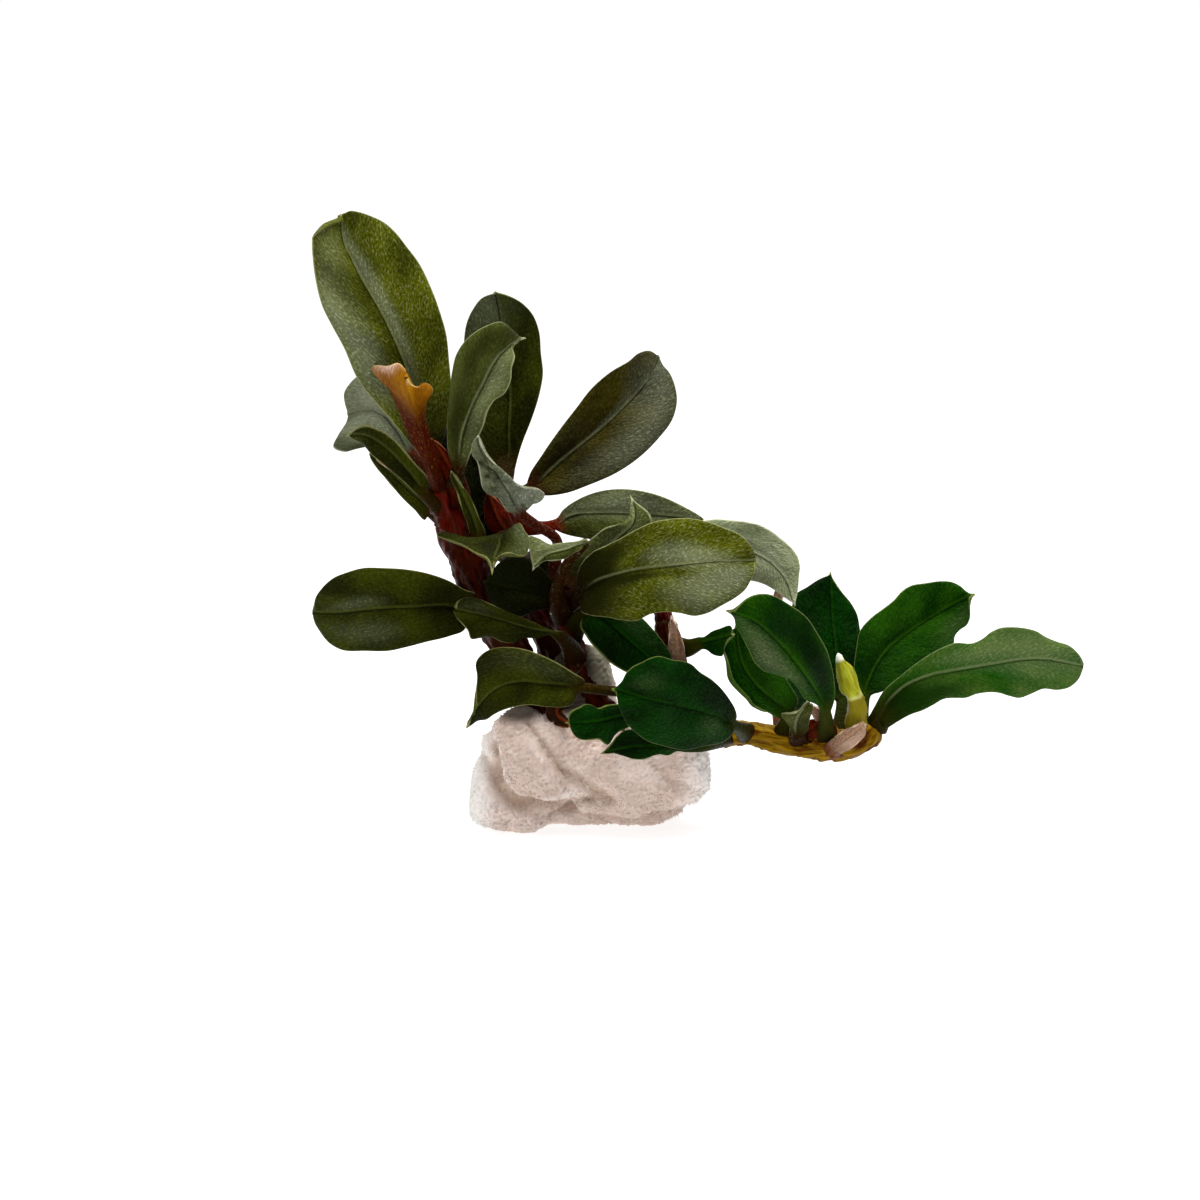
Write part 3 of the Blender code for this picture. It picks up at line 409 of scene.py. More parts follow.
        ((-1.5, 26.2), (-0.4, 27.9), (0.5, 28.7), (1.4, 29.4), (2.4, 29.7), (3.4, 29.9),
         (3.9, 30.6), (4.0, 31.3)),
        ((0.6, 25.2), (2.6, 26.6), (4.6, 28.0), (5.8, 29.2), (6.1, 30.1), (5.8, 30.9),
         (5.0, 31.6)),
        finish="leaf_grey"),
    "leaf_pale_right": Leaf(
        RIGHT, 1.0,
        ((8.3, 23.2, -1.6), (9.6, 25.6, -2.6), (12.6, 27.6, -3.2), (16.7, 26.8, -2.4),
         (19.0, 25.0, -1.2), (20.3, 22.0, 0.5)),
        ((8.0, 25.6), (9.0, 28.6), (10.6, 29.9), (12.3, 30.3), (14.0, 30.2), (15.7, 30.0),
         (16.9, 29.7), (17.9, 29.2), (19.1, 28.3), (20.1, 27.4), (20.7, 26.5), (20.9, 25.6),
         (20.8, 24.6), (20.7, 23.4)),
        ((9.8, 23.4), (12.0, 23.8), (14.2, 24.2), (16.1, 24.1), (17.2, 23.8), (18.3, 23.2),
         (19.1, 22.6)),
        finish="leaf_grey"),
    "leaf_below_centre": Leaf(
        CENTRE, 0.70,
        ((-0.1, 20.9, 2.0), (1.2, 20.3, 2.4), (2.5, 19.3, 2.9), (3.9, 18.1, 3.4),
         (5.7, 16.5, 4.2), (7.7, 15.0, 4.8)),
        ((0.8, 21.6), (2.4, 21.7), (4.0, 21.1), (5.1, 20.4), (6.0, 19.5), (6.7, 18.7),
         (7.3, 17.9), (7.8, 17.1), (8.1, 16.2)),
        ((-0.9, 20.3), (-1.0, 19.4), (-0.6, 18.8), (-0.1, 18.0), (0.8, 17.0), (1.7, 16.1),
         (2.7, 15.4), (3.7, 14.9), (5.6, 14.4)),
        finish="leaf_green"),
    "leaf_lower_left": Leaf(
        RIGHT, 0.40,
        ((6.4, 12.8, 5.6), (2.1, 13.1, 8.6), (-1.3, 13.5, 9.6), (-4.6, 13.8, 10.4),
         (-7.2, 14.0, 10.8), (-9.4, 13.4, 11.0), (-11.0, 11.9, 10.8),
         (-12.1, 9.9, 9.8)),
        ((-1.9, 11.8), (-4.2, 11.5), (-6.1, 11.7), (-7.7, 11.5), (-9.0, 11.1), (-9.8, 10.7),
         (-10.4, 10.3), (-11.3, 10.2)),
        ((-0.6, 14.1), (-1.7, 14.9), (-3.7, 16.1), (-5.2, 16.8), (-6.7, 17.3), (-8.4, 17.5),
         (-10.0, 17.3), (-10.9, 16.8), (-11.5, 16.0), (-11.4, 14.7), (-11.5, 12.8),
         (-11.5, 11.2)),
        blade_from=3, finish="leaf_olive"),
    "leaf_round_front": Leaf(
        RHIZOME, 0.605,
        ((14.0, 9.8, 6.5), (12.6, 10.5, 8.6), (10.9, 11.1, 10.2), (9.1, 11.5, 11.4),
         (7.3, 11.9, 12.6), (5.6, 12.3, 13.2), (3.7, 12.9, 13.4), (2.5, 13.2, 13.2)),
        ((14.2, 9.2), (13.9, 8.5), (13.2, 8.0), (12.1, 7.7), (10.9, 7.5), (9.7, 7.2),
         (8.5, 7.3), (7.3, 7.6), (6.1, 7.9), (5.3, 8.3), (4.3, 9.1), (3.6, 9.8), (3.2, 10.6),
         (2.8, 11.5), (2.6, 12.4)),
        ((14.5, 10.5), (14.4, 11.3), (13.9, 12.2), (13.4, 12.9), (12.8, 13.6), (12.0, 14.3),
         (10.9, 15.0), (10.0, 15.8), (9.2, 16.1), (8.3, 16.2), (7.6, 16.4), (6.7, 16.6),
         (5.9, 16.4), (5.1, 16.0), (4.1, 15.5), (3.5, 14.9), (3.1, 14.1), (2.7, 13.6)),
        finish="leaf_green"),
    "leaf_small_front": Leaf(
        RIGHT, 0.24,
        ((8.6, 11.6, 5.0), (5.2, 11.0, 8.8), (3.1, 10.6, 10.0), (0.9, 10.1, 10.8),
         (-0.8, 9.9, 11.2), (-2.1, 9.9, 11.2)),
        ((4.4, 10.0), (3.6, 9.4), (2.7, 9.0), (2.2, 8.5), (1.6, 7.7), (1.2, 7.9), (0.9, 8.2),
         (0.0, 8.2), (-0.9, 8.2), (-1.5, 8.5), (-1.9, 9.1)),
        ((3.8, 11.6), (2.6, 11.8), (1.5, 11.7), (0.6, 11.4), (0.0, 11.7), (-0.6, 11.8),
         (-1.2, 11.5), (-2.0, 11.1), (-2.3, 10.6)),
        blade_from=2, finish="leaf_green"),
    "leaf_dark_under": Leaf(
        RHIZOME, 0.545,
        ((10.9, 7.5, 7.0), (7.9, 7.4, 8.8), (4.9, 7.5, 9.6), (1.4, 7.0, 9.8)),
        ((9.4, 7.0), (8.4, 7.1), (7.7, 6.7), (6.8, 6.8), (6.1, 6.6), (5.4, 6.3), (4.2, 6.3),
         (3.1, 6.7), (2.2, 7.0)),
        ((8.8, 8.3), (6.6, 8.7), (4.5, 9.2), (3.5, 9.2), (2.6, 8.6), (2.0, 7.8)),
        finish="leaf_dark"),
    "leaf_tiny_right": Leaf(
        RIGHT, 0.70,
        ((9.6, 17.4, 3.0), (11.0, 17.9, 4.6), (12.6, 18.3, 6.2), (14.2, 18.7, 7.6)),
        ((11.2, 18.4), (12.1, 19.0), (12.8, 19.3), (14.0, 19.6)),
        ((11.4, 17.4), (12.4, 16.7), (13.1, 16.6), (13.4, 17.5), (13.8, 18.2)),
        blade_from=2, finish="leaf_green"),
    # right crown
    "leaf_front_right": Leaf(
        RHIZOME, 0.82,
        ((23.4, 11.0, 5.0), (21.9, 14.0, 7.6), (20.1, 16.4, 9.2), (18.3, 18.4, 10.4),
         (16.2, 20.2, 11.0), (14.2, 21.0, 10.6)),
        ((22.8, 11.6), (21.4, 12.3), (20.6, 13.5), (19.9, 14.2), (18.6, 14.7), (17.3, 15.1),
         (16.5, 15.8), (15.7, 17.3), (15.0, 18.7), (14.5, 19.6), (14.4, 20.4)),
        ((24.3, 12.2), (24.3, 14.4), (23.9, 16.2), (23.5, 17.4), (23.0, 18.3), (22.4, 19.3),
         (21.8, 20.2), (21.1, 20.9), (20.4, 21.4), (19.6, 21.9), (18.6, 22.5), (17.7, 22.8),
         (16.7, 22.8), (15.6, 22.4), (14.8, 21.7)),
        finish="leaf_green"),
    "leaf_rolled": Leaf(
        RHIZOME, 0.70,
        ((19.6, 10.9, 3.0), (18.2, 12.2, 4.2), (16.6, 13.6, 5.0), (15.2, 15.6, 5.4),
         (14.5, 19.4, 5.2)),
        ((18.9, 10.6), (17.6, 11.1), (16.0, 11.4), (15.4, 11.6), (14.8, 12.2), (13.9, 13.1),
         (13.2, 14.0), (13.2, 16.2), (13.3, 17.6), (13.6, 18.5), (14.1, 19.2)),
        ((20.6, 11.9), (20.0, 13.5), (19.0, 15.0), (17.5, 16.2), (16.5, 17.2), (15.4, 18.7)),
        finish="leaf_green"),
    "leaf_back_right": Leaf(
        RHIZOME, 0.865,
        ((25.1, 12.0, -1.5), (24.7, 15.2, -3.0), (24.2, 19.0, -5.0), (23.9, 24.6, -7.4)),
        ((24.0, 12.8), (22.6, 14.6), (21.2, 17.0), (20.3, 19.4), (20.1, 21.6), (20.4, 22.7),
         (21.6, 23.5), (22.9, 24.3)),
        ((25.9, 12.8), (26.9, 15.0), (27.2, 17.4), (26.9, 19.3), (26.6, 20.8), (26.0, 21.9),
         (25.1, 23.0), (24.4, 24.0)),
        finish="leaf_green"),
    "leaf_broad_right": Leaf(
        RHIZOME, 0.92,
        ((27.2, 12.0, -0.6), (28.1, 14.8, -1.6), (29.5, 17.0, -2.6), (31.4, 18.7, -3.8),
         (34.4, 20.7, -5.0), (37.9, 22.6, -5.0)),
        ((26.6, 13.0), (26.3, 14.8), (26.5, 17.2), (27.0, 19.3), (28.1, 20.5), (29.3, 21.4),
         (30.3, 22.2), (31.0, 23.0), (31.9, 23.6), (33.5, 23.9), (35.1, 24.1), (36.1, 24.0),
         (36.9, 23.6), (37.5, 23.0)),
        ((27.9, 12.6), (29.0, 13.0), (30.2, 13.5), (31.5, 14.0), (32.9, 14.6), (34.2, 15.4),
         (35.4, 16.2), (36.0, 16.9), (36.3, 17.9), (36.4, 18.6), (36.9, 19.2), (37.6, 19.7),
         (37.9, 20.4), (37.9, 21.6)),
        finish="leaf_green"),
    "leaf_long_right": Leaf(
        RHIZOME, 0.985,
        ((28.9, 10.3, 1.6), (29.8, 12.0, 2.2), (31.2, 13.4, 2.8), (33.9, 14.6, 4.0),
         (36.9, 15.2, 5.0), (40.3, 15.8, 5.4), (42.9, 16.2, 5.2), (45.1, 16.3, 4.6),
         (47.1, 16.0, 4.0), (49.1, 15.6, 3.0)),
        ((28.8, 11.4), (29.4, 12.9), (31.0, 14.6), (33.0, 16.2), (34.8, 17.3), (36.4, 17.9),
         (38.2, 17.9), (39.1, 18.3), (40.0, 19.0), (40.9, 19.4), (42.0, 19.5), (43.3, 19.4),
         (44.5, 19.1), (45.5, 18.5), (46.7, 18.0), (47.7, 17.7), (48.5, 17.1), (49.0, 16.4)),
        ((29.0, 9.6), (30.5, 10.2), (31.9, 10.8), (33.2, 11.2), (34.2, 11.7), (35.3, 12.3),
         (36.6, 12.4), (37.4, 12.4), (38.6, 12.8), (40.8, 12.9), (41.8, 12.6), (42.8, 12.4),
         (44.0, 12.8), (45.2, 13.3), (46.7, 13.2), (47.9, 13.5), (48.8, 14.4)),
        finish="leaf_green"),
    "leaf_tiny_pale": Leaf(
        RHIZOME, 0.76,
        ((20.6, 8.9, 3.4), (20.6, 9.8, 4.6), (20.9, 10.8, 5.6), (21.7, 12.0, 6.0)),
        ((20.2, 9.3), (19.6, 10.2), (19.1, 10.8), (20.2, 10.9), (21.0, 11.2)),
        ((21.3, 9.1), (21.6, 9.8), (21.9, 10.7), (22.2, 11.7)),
        finish="leaf_grey"),
    # behind the others
    "leaf_behind_left": Leaf(
        LEFT, 0.56,
        ((-13.0, 21.2, -3.0), (-15.5, 21.2, -7.0), (-18.0, 20.8, -11.0),
         (-20.5, 19.8, -14.0)),
        (2.0, 2.6, 2.2), (2.0, 2.6, 2.2),
        finish="leaf_dark"),
    "leaf_behind_centre": Leaf(
        CENTRE, 0.90,
        ((0.5, 22.5, -5.0), (3.5, 23.5, -9.5), (7.0, 24.0, -13.0), (10.5, 23.5, -15.5)),
        (2.2, 3.0, 2.4), (2.2, 3.0, 2.4),
        finish="leaf_dark"),
    "leaf_behind_crown": Leaf(
        RHIZOME, 0.75,
        ((20.4, 10.5, -3.5), (19.4, 14.0, -8.0), (18.4, 18.0, -12.0), (17.6, 21.0, -15.0)),
        (2.2, 3.2, 2.4), (2.2, 3.2, 2.4),
        finish="leaf_dark"),
    "leaf_behind_tall": Leaf(
        MIDDLE, 0.84,
        ((-9.2, 30.5, -8.0), (-10.9, 33.5, -12.0), (-12.0, 37.0, -15.0),
         (-12.6, 40.0, -16.5)),
        (1.6, 2.2, 1.8), (1.6, 2.2, 1.8),
        finish="leaf_dark"),
    "leaf_behind_right": Leaf(
        RHIZOME, 0.95,
        ((29.5, 11.5, -4.0), (32.0, 13.5, -8.0), (35.0, 15.2, -12.0), (38.5, 16.5, -15.0)),
        (1.6, 2.2, 1.8), (1.6, 2.2, 1.8),
        finish="leaf_dark"),
    # scales and sheaths
    "bract_brown": Leaf(
        LEFT, 0.92,
        ((-15.9, 35.4, 5.2), (-16.6, 38.0, 6.2), (-17.6, 40.8, 7.4), (-18.4, 44.3, 8.6)),
        ((-16.6, 36.0), (-17.7, 37.8), (-18.5, 39.3), (-19.2, 41.1), (-19.9, 42.6),
         (-20.4, 43.8), (-21.0, 44.6), (-21.9, 45.2), (-21.9, 45.6), (-21.3, 45.7),
         (-20.4, 45.6), (-19.2, 45.9), (-18.6, 45.2)),
        ((-15.1, 36.4), (-15.8, 37.8), (-16.3, 39.3), (-16.6, 40.5), (-16.5, 41.6),
         (-16.3, 42.3), (-15.9, 42.8), (-15.8, 43.3), (-16.1, 43.7), (-16.6, 43.9),
         (-17.3, 43.5), (-17.9, 43.8)),
        fold=-0.4, finish="bract_brown"),
    "cataphyll_pink": Leaf(
        RIGHT, 0.45,
        ((8.6, 16.0, 3.6), (8.5, 17.6, 3.9), (8.1, 20.2, 3.5)),
        (0.7, 0.5), (0.7, 0.5),
        finish="sheath_pink"),
    "sheath_right": Leaf(
        RHIZOME, 0.885,
        ((24.0, 7.2, 3.6), (25.4, 8.1, 4.4), (26.6, 9.0, 4.6), (27.3, 9.8, 4.2)),
        (0.7, 0.9, 0.7), (0.7, 0.9, 0.8),
        fold=-0.3, tip=0.6, finish="sheath_pink"),
}

# Leaves, scales, a root, a twig and a shoot between the stems, with no node of their own.
SMALL_LEAVES = {
    "leaf_sliver": Leaf(
        LEFT, 0.70,
        ((-11.4, 28.6, 2.4), (-11.8, 30.2, 3.4), (-12.7, 32.4, 4.2), (-13.9, 34.9, 4.4)),
        (0.5, 0.6, 0.4), (0.5, 0.6, 0.4),
        tip=0.2, finish="leaf_dark"),
    # Near-black leaves that fill the deep shade between the stems; their darkness is painted
    # shade.
    "leaf_shaded_left": Leaf(
        CENTRE, 0.80,
        ((-3.4, 22.0, 1.6), (-5.4, 22.9, 2.8), (-8.0, 23.4, 3.4), (-10.6, 24.0, 3.4)),
        (1.6, 2.7, 2.5), (1.9, 3.2, 3.1),
        finish="leaf_dark"),
    "leaf_shaded_middle": Leaf(
        CENTRE, 0.60,
        ((-3.4, 21.3, -3.0), (-4.6, 23.0, -4.8), (-5.4, 25.2, -6.0), (-5.6, 27.4, -6.6)),
        (1.5, 2.0, 1.6), (1.2, 1.4, 1.4),
        finish="leaf_dark"),
    "leaf_shaded_crown": Leaf(
        LEFT, 0.74,
        ((-12.2, 29.8, -1.4), (-11.8, 31.6, -2.2), (-11.8, 34.4, -3.2), (-12.0, 38.4, -4.2)),
        (1.6, 2.0, 1.3), (1.4, 1.6, 1.3),
        finish="leaf_dark"),
    "leaf_shaded_top": Leaf(
        LEFT, 0.88,
        ((-13.6, 34.4, -1.0), (-13.4, 36.4, -1.6), (-13.4, 39.0, -2.2), (-13.6, 41.6, -2.6)),
        (1.3, 1.8, 1.3), (1.3, 1.8, 1.3),
        finish="leaf_dark"),
    "leaf_shaded_low": Leaf(
        LEFT, 0.58,
        ((-10.2, 26.8, -1.0), (-10.3, 29.2, -1.8), (-10.8, 32.4, -2.2), (-11.2, 35.6, -2.4)),
        (1.5, 2.0, 1.4), (1.5, 1.8, 1.3),
        finish="leaf_dark"),
    "scale_papery": Leaf(
        LEFT, 0.66,
        ((-14.6, 28.2, 0.6), (-15.4, 30.4, 1.2), (-16.6, 32.7, 2.2), (-19.0, 34.8, 2.6),
         (-21.3, 36.3, 2.0)),
        (0.22, 0.26, 0.2, 0.2), (0.22, 0.2, 0.26, 0.2),
        tip=0.1, finish="sheath_pink"),
    "scale_crimson": Leaf(
        MIDDLE, 0.78,
        ((-8.3, 28.6, -1.6), (-9.2, 30.0, -0.9), (-9.9, 31.6, -0.4), (-10.3, 32.8, -0.2)),
        (0.9, 1.1, 0.8), (0.9, 1.1, 0.8),
        fold=-0.4, finish="stem_red"),
    "scale_stem": Leaf(
        LEFT, 0.84,
        ((-13.0, 32.2, 3.0), (-13.6, 34.2, 3.8), (-14.8, 36.4, 4.4), (-16.0, 38.2, 4.8)),
        (0.8, 1.0, 0.7), (0.8, 1.0, 0.7),
        fold=-0.4, finish="stem_red"),
    "scale_red": Leaf(
        RHIZOME, 0.80,
        ((21.6, 8.9, 2.6), (22.1, 9.3, 3.0), (22.8, 9.9, 3.0)),
        (0.6, 0.7), (0.6, 0.7),
        fold=-0.3, tip=0.5, finish="stem_red"),
    "scale_pale": Leaf(
        RHIZOME, 0.83,
        ((23.4, 9.9, 2.4), (22.9, 10.6, 3.0), (22.2, 11.4, 3.2)),
        (0.4, 0.4), (0.4, 0.4),
        tip=0.3, finish="sheath_pink"),
    "shoot_pale": Leaf(
        RHIZOME, 0.72,
        ((18.4, 14.0, -2.0), (18.6, 18.0, -2.4), (18.7, 22.4, -2.4), (19.1, 23.6, -2.4)),
        (0.3, 0.4, 0.5), (0.3, 0.4, 0.5),
        blade_from=2, finish="sheath_pink"),
    "root_brown": Leaf(
        MIDDLE, 0.14,
        ((-3.0, 11.8, 1.5), (-3.6, 11.2, 3.6), (-3.4, 10.5, 5.0), (-2.2, 9.6, 6.2)),
        (0.8, 0.9, 0.7), (0.8, 0.9, 0.7),
        fold=-0.4, finish="stem_red"),
    "twig_brown": Leaf(
        RIGHT, 0.80,
        ((7.4, 19.6, 2.6), (7.7, 18.2, 3.4), (8.3, 16.6, 3.8), (9.6, 17.4, 3.4)),
        (0.4, 0.4), (0.4, 0.4),
        fold=-0.3, finish="stem_red"),
}

PLAIN = Dress("deep", hook=0.3)        # of the leaves that are not in the table
DRESSES = {
    "leaf_tall_left": Dress(
        "olive", wave=(0.3, 1.5, 0.1), hook=0.0, rims=(0.14, 0.09),
        rolls=(Roll(1, 0.86, 1.04, 1.1, 0.3),),
        painted_sheen_and_shade=((0.42, 0.70, 0.20, 0.35, 0.8), (0.62, 0.85, 0.10, 0.20, 0.7),
               (0.85, 0.5, 0.10, 0.4, 0.3), (0.62, -0.14, 0.42, 0.11, 0.85),
               (0.45, 0.1, 0.3, 0.1, -0.5), (0.1, 0.0, 0.12, 1.0, -0.5))),
    "leaf_tall_back": Dress(
        "moss", hook=0.2,
        painted_sheen_and_shade=((0.9, 0.4, 0.16, 0.6, 1.2), (0.65, 0.8, 0.3, 0.2, 0.5),
               (0.92, -0.7, 0.08, 0.3, 0.3), (0.15, 0.0, 0.25, 1.0, -0.4))),
    "leaf_folded": Dress(
        "grey", hook=0.8, rims=(0.07, 0.19),
        painted_sheen_and_shade=((0.6, -0.4, 0.45, 0.5, 0.7), (0.3, 0.5, 0.3, 0.5, -0.7),
               (0.75, 0.6, 0.2, 0.4, -0.4))),
    "leaf_grey_left": Dress(
        "silver_sheen", hook=0.4, rims=(0.19, 0.07),
        painted_sheen_and_shade=((0.6, -0.2, 0.5, 0.7, 0.5), (0.5, 0.9, 0.4, 0.25, -0.6))),
    "leaf_small_left": Dress(
        "moss", hook=0.6, rims=(0.1, 0.2), painted_sheen_and_shade=((0.3, 0.2, 0.2, 0.6, -0.4),)),
    "leaf_low_left": Dress("moss", hook=0.3, rims=(0.12, 0.06)),
    "leaf_grey_curled": Dress(
        "silver_sheen", hook=0.2, emboss=7.0, rims=(0.1, 0.1),
        painted_sheen_and_shade=((0.25, -0.2, 0.25, 0.9, 0.9), (0.85, 0.0, 0.2, 1.0, -0.4),
               (0.5, -0.9, 0.3, 0.3, 0.5), (0.42, 0.5, 0.03, 0.25, -1.0),
               (0.5, 0.1, 0.03, 0.3, -1.0), (0.57, 0.6, 0.03, 0.25, -1.0),
               (0.64, 0.2, 0.03, 0.3, -1.0), (0.71, 0.7, 0.03, 0.3, -0.9))),
    "leaf_upper_right": Dress(
        "brown", hook=0.2, rims=(0.07, 0.12),
        painted_sheen_and_shade=((0.95, -0.2, 0.25, 0.9, 0.8), (0.6, -0.7, 0.35, 0.35, 0.7),
               (0.3, 0.6, 0.35, 0.6, -0.6), (0.55, 0.1, 0.4, 0.1, 0.5))),
    "leaf_back_middle": Dress(
        "grey_on_red", hook=0.2,
        painted_sheen_and_shade=((0.5, 0.4, 0.45, 0.6, 1.5), (0.3, -0.6, 0.3, 0.5, -0.3))),
    "leaf_to_viewer": Dress(
        "moss", hook=0.9, rims=(0.08, 0.1),
        painted_sheen_and_shade=((0.3, 0.9, 0.2, 0.3, 0.7), (0.7, 0.6, 0.2, 0.4, 0.4))),
    "leaf_to_viewer_small": Dress(
        "grey", hook=0.4, rims=(0.1, 0.12),
        painted_sheen_and_shade=((0.4, -0.5, 0.5, 0.5, 0.8), (0.6, 0.7, 0.3, 0.4, -0.6))),
    "leaf_wide_left": Dress(
        "moss", hook=0.0, wave=(0.3, 1.5, 0.2),
        painted_sheen_and_shade=((0.72, -0.18, 0.16, 0.14, 0.7), (0.62, 0.55, 0.22, 0.25, 0.5),
               (0.2, 0.0, 0.18, 1.2, -0.6))),
    "leaf_olive_left": Dress(
        "moss", wave=(0.4, 2.5, 0.2), hook=0.0, rims=(0.1, 0.07),
        painted_sheen_and_shade=((0.8, -0.5, 0.12, 0.3, 0.3),)),
    "leaf_big_centre": Dress(
        "olive", hook=0.2, rims=(0.12, 0.09), wave=(0.25, 2.5, 0.3),
        painted_sheen_and_shade=((0.58, 0.3, 0.22, 0.25, 0.7), (0.74, -0.5, 0.22, 0.45, 0.8),
               (0.0, 0.0, 0.27, 1.4, -1.5), (0.97, -0.1, 0.06, 0.8, -0.5),
               (0.45, -0.14, 0.3, 0.1, -0.7), (0.25, 0.7, 0.2, 0.4, -0.4),
               (0.75, 0.5, 0.15, 0.2, -0.3), (0.72, 0.1, 0.14, 0.25, 0.6),
               (0.88, -0.5, 0.1, 0.4, 0.5))),
    "leaf_hooked": Dress("grey", hook=0.8, rims=(0.15, 0.19), painted_sheen_and_shade=((0.6, 0.0, 0.5, 0.9, 0.3),)),
    "leaf_pale_right": Dress(
        "pale", hook=0.5, rims=(0.15, 0.15), painted_sheen_and_shade=((0.6, 0.0, 0.6, 1.2, 0.8),)),
    "leaf_below_centre": Dress(
        "deep", rims=(0.06, 0.25), hook=0.3,
        painted_sheen_and_shade=((0.4, 0.6, 0.4, 0.5, 0.25), (0.5, -0.5, 0.5, 0.5, -0.5))),
    "leaf_lower_left": Dress(
        "moss", hook=0.8, wave=(0.35, 1.5, 0.4), rims=(0.09, 0.12),
        painted_sheen_and_shade=((0.3, -0.6, 0.3, 0.4, 0.2), (0.7, 0.3, 0.3, 0.5, -0.4))),
    "leaf_round_front": Dress(
        "deep", hook=0.5, rims=(0.07, 0.1), wave=(0.25, 2.0, 0.1),
        painted_sheen_and_shade=((0.22, 0.3, 0.1, 0.4, 0.5), (0.75, -0.45, 0.12, 0.2, 0.4),
               (0.3, -0.4, 0.2, 0.4, -0.5))),
    "leaf_small_front": Dress(
        "deep", wave=(0.3, 2.0, 0.0), rims=(0.15, 0.15), painted_sheen_and_shade=((0.3, 0.0, 0.3, 1.0, -0.6),)),
    "leaf_dark_under": Dress(
        "deep", painted_sheen_and_shade=((0.25, 0.0, 0.2, 0.8, 0.5), (0.85, 0.0, 0.35, 1.0, -0.8))),
    "leaf_tiny_right": Dress("green", hook=0.3),
    "leaf_front_right": Dress(
        "green", hook=0.8, rims=(0.07, 0.12), wave=(0.25, 1.5, 0.3),
        painted_sheen_and_shade=((0.6, 0.55, 0.3, 0.4, 1.5), (0.35, -0.5, 0.4, 0.5, -0.9))),
    "leaf_rolled": Dress(
        "green", rolls=(Roll(1, 0.12, 0.8, 1.3, 0.45),), rims=(0.19, 0.06),
        painted_sheen_and_shade=((0.5, -0.3, 0.4, 0.5, -0.4),)),
    "leaf_back_right": Dress("deep", hook=0.5, rims=(0.12, 0.07)),
    "leaf_broad_right": Dress(
        "green", hook=0.6, wave=(0.3, 1.5, 0.3), rims=(0.09, 0.09),
        painted_sheen_and_shade=((0.8, -0.7, 0.15, 0.3, 0.5), (0.2, 0.0, 0.2, 1.0, -0.5))),
    "leaf_long_right": Dress(
        "fresh", hook=0.2, wave=(0.4, 3.0, 0.2), rims=(0.09, 0.09),
        painted_sheen_and_shade=((0.8, 0.2, 0.3, 0.9, 0.6), (0.08, -0.4, 0.2, 1.0, -1.2),
               (0.35, -0.7, 0.12, 0.4, -0.5), (0.5, 0.5, 0.2, 0.3, 0.3),
               (0.55, -0.5, 0.15, 0.3, -0.3))),
    "leaf_tiny_pale": Dress("grey", hook=0.3),
    "bract_brown": Dress(
        "bract", hook=0.0, emboss=0.6, rims=(0.15, 0.12), wave=(0.4, 2.5, 0.2),
        painted_sheen_and_shade=((0.80, 1.0, 0.08, 0.2, 2.0), (0.98, 0.1, 0.03, 0.3, 0.7))),
    "cataphyll_pink": Dress("membrane", hook=0.5, emboss=0.5),
    "sheath_right": Dress("membrane", hook=0.1, emboss=1.5, wave=(0.4, 2.5, 0.2)),
    "leaf_sliver": Dress("moss", hook=0.3),
    "scale_papery": Dress("papery", hook=0.3, emboss=0.5, rims=(0.05, 0.05)),
    "scale_stem": Dress("crimson", hook=0.3),
    "scale_pale": Dress("membrane", hook=0.2),
    "shoot_pale": Dress("membrane", hook=0.3),
    "root_brown": Dress("root", hook=0.2),
    # Leaves in deep shade, painted near black as shade.
    **dict.fromkeys(("leaf_shaded_left", "leaf_shaded_middle", "leaf_shaded_crown",
                     "leaf_shaded_top", "leaf_shaded_low", "leaf_behind_tall"),
                    Dress("shaded", hook=0.2)),
    **dict.fromkeys(("scale_red", "scale_crimson", "twig_brown"),
                    Dress("crimson", hook=0.0)),
}


class Look(NamedTuple):
    """The colours of a leaf, as red, green and blue on screen.

    Its face runs from dark to body, with a silvery colour for its flecks and for the painted
    highlights where it gleams, and under is its back. The rib colour is the painted highlight
    beside the midrib and the pale streaks on the petiole. gloss is the tint of its gloss, as
    linear light.
    """

    dark: tuple
    body: tuple
    silver_sheen: tuple
    under: tuple
    petiole: tuple
    rib: tuple
    margin: tuple
    roughness: float = 0.45
    petiole_end: float = 0.12      # share of the blade where its petiole's colour ends
    flecked: float = 0.04          # how strongly the whole face is flecked, partly with its own silvery dots and partly with painted glints
    rib_shade_strength: float = 0.7           # how dark the painted shade line beside the midrib is
    gloss: tuple = OLIVE_GLOSS


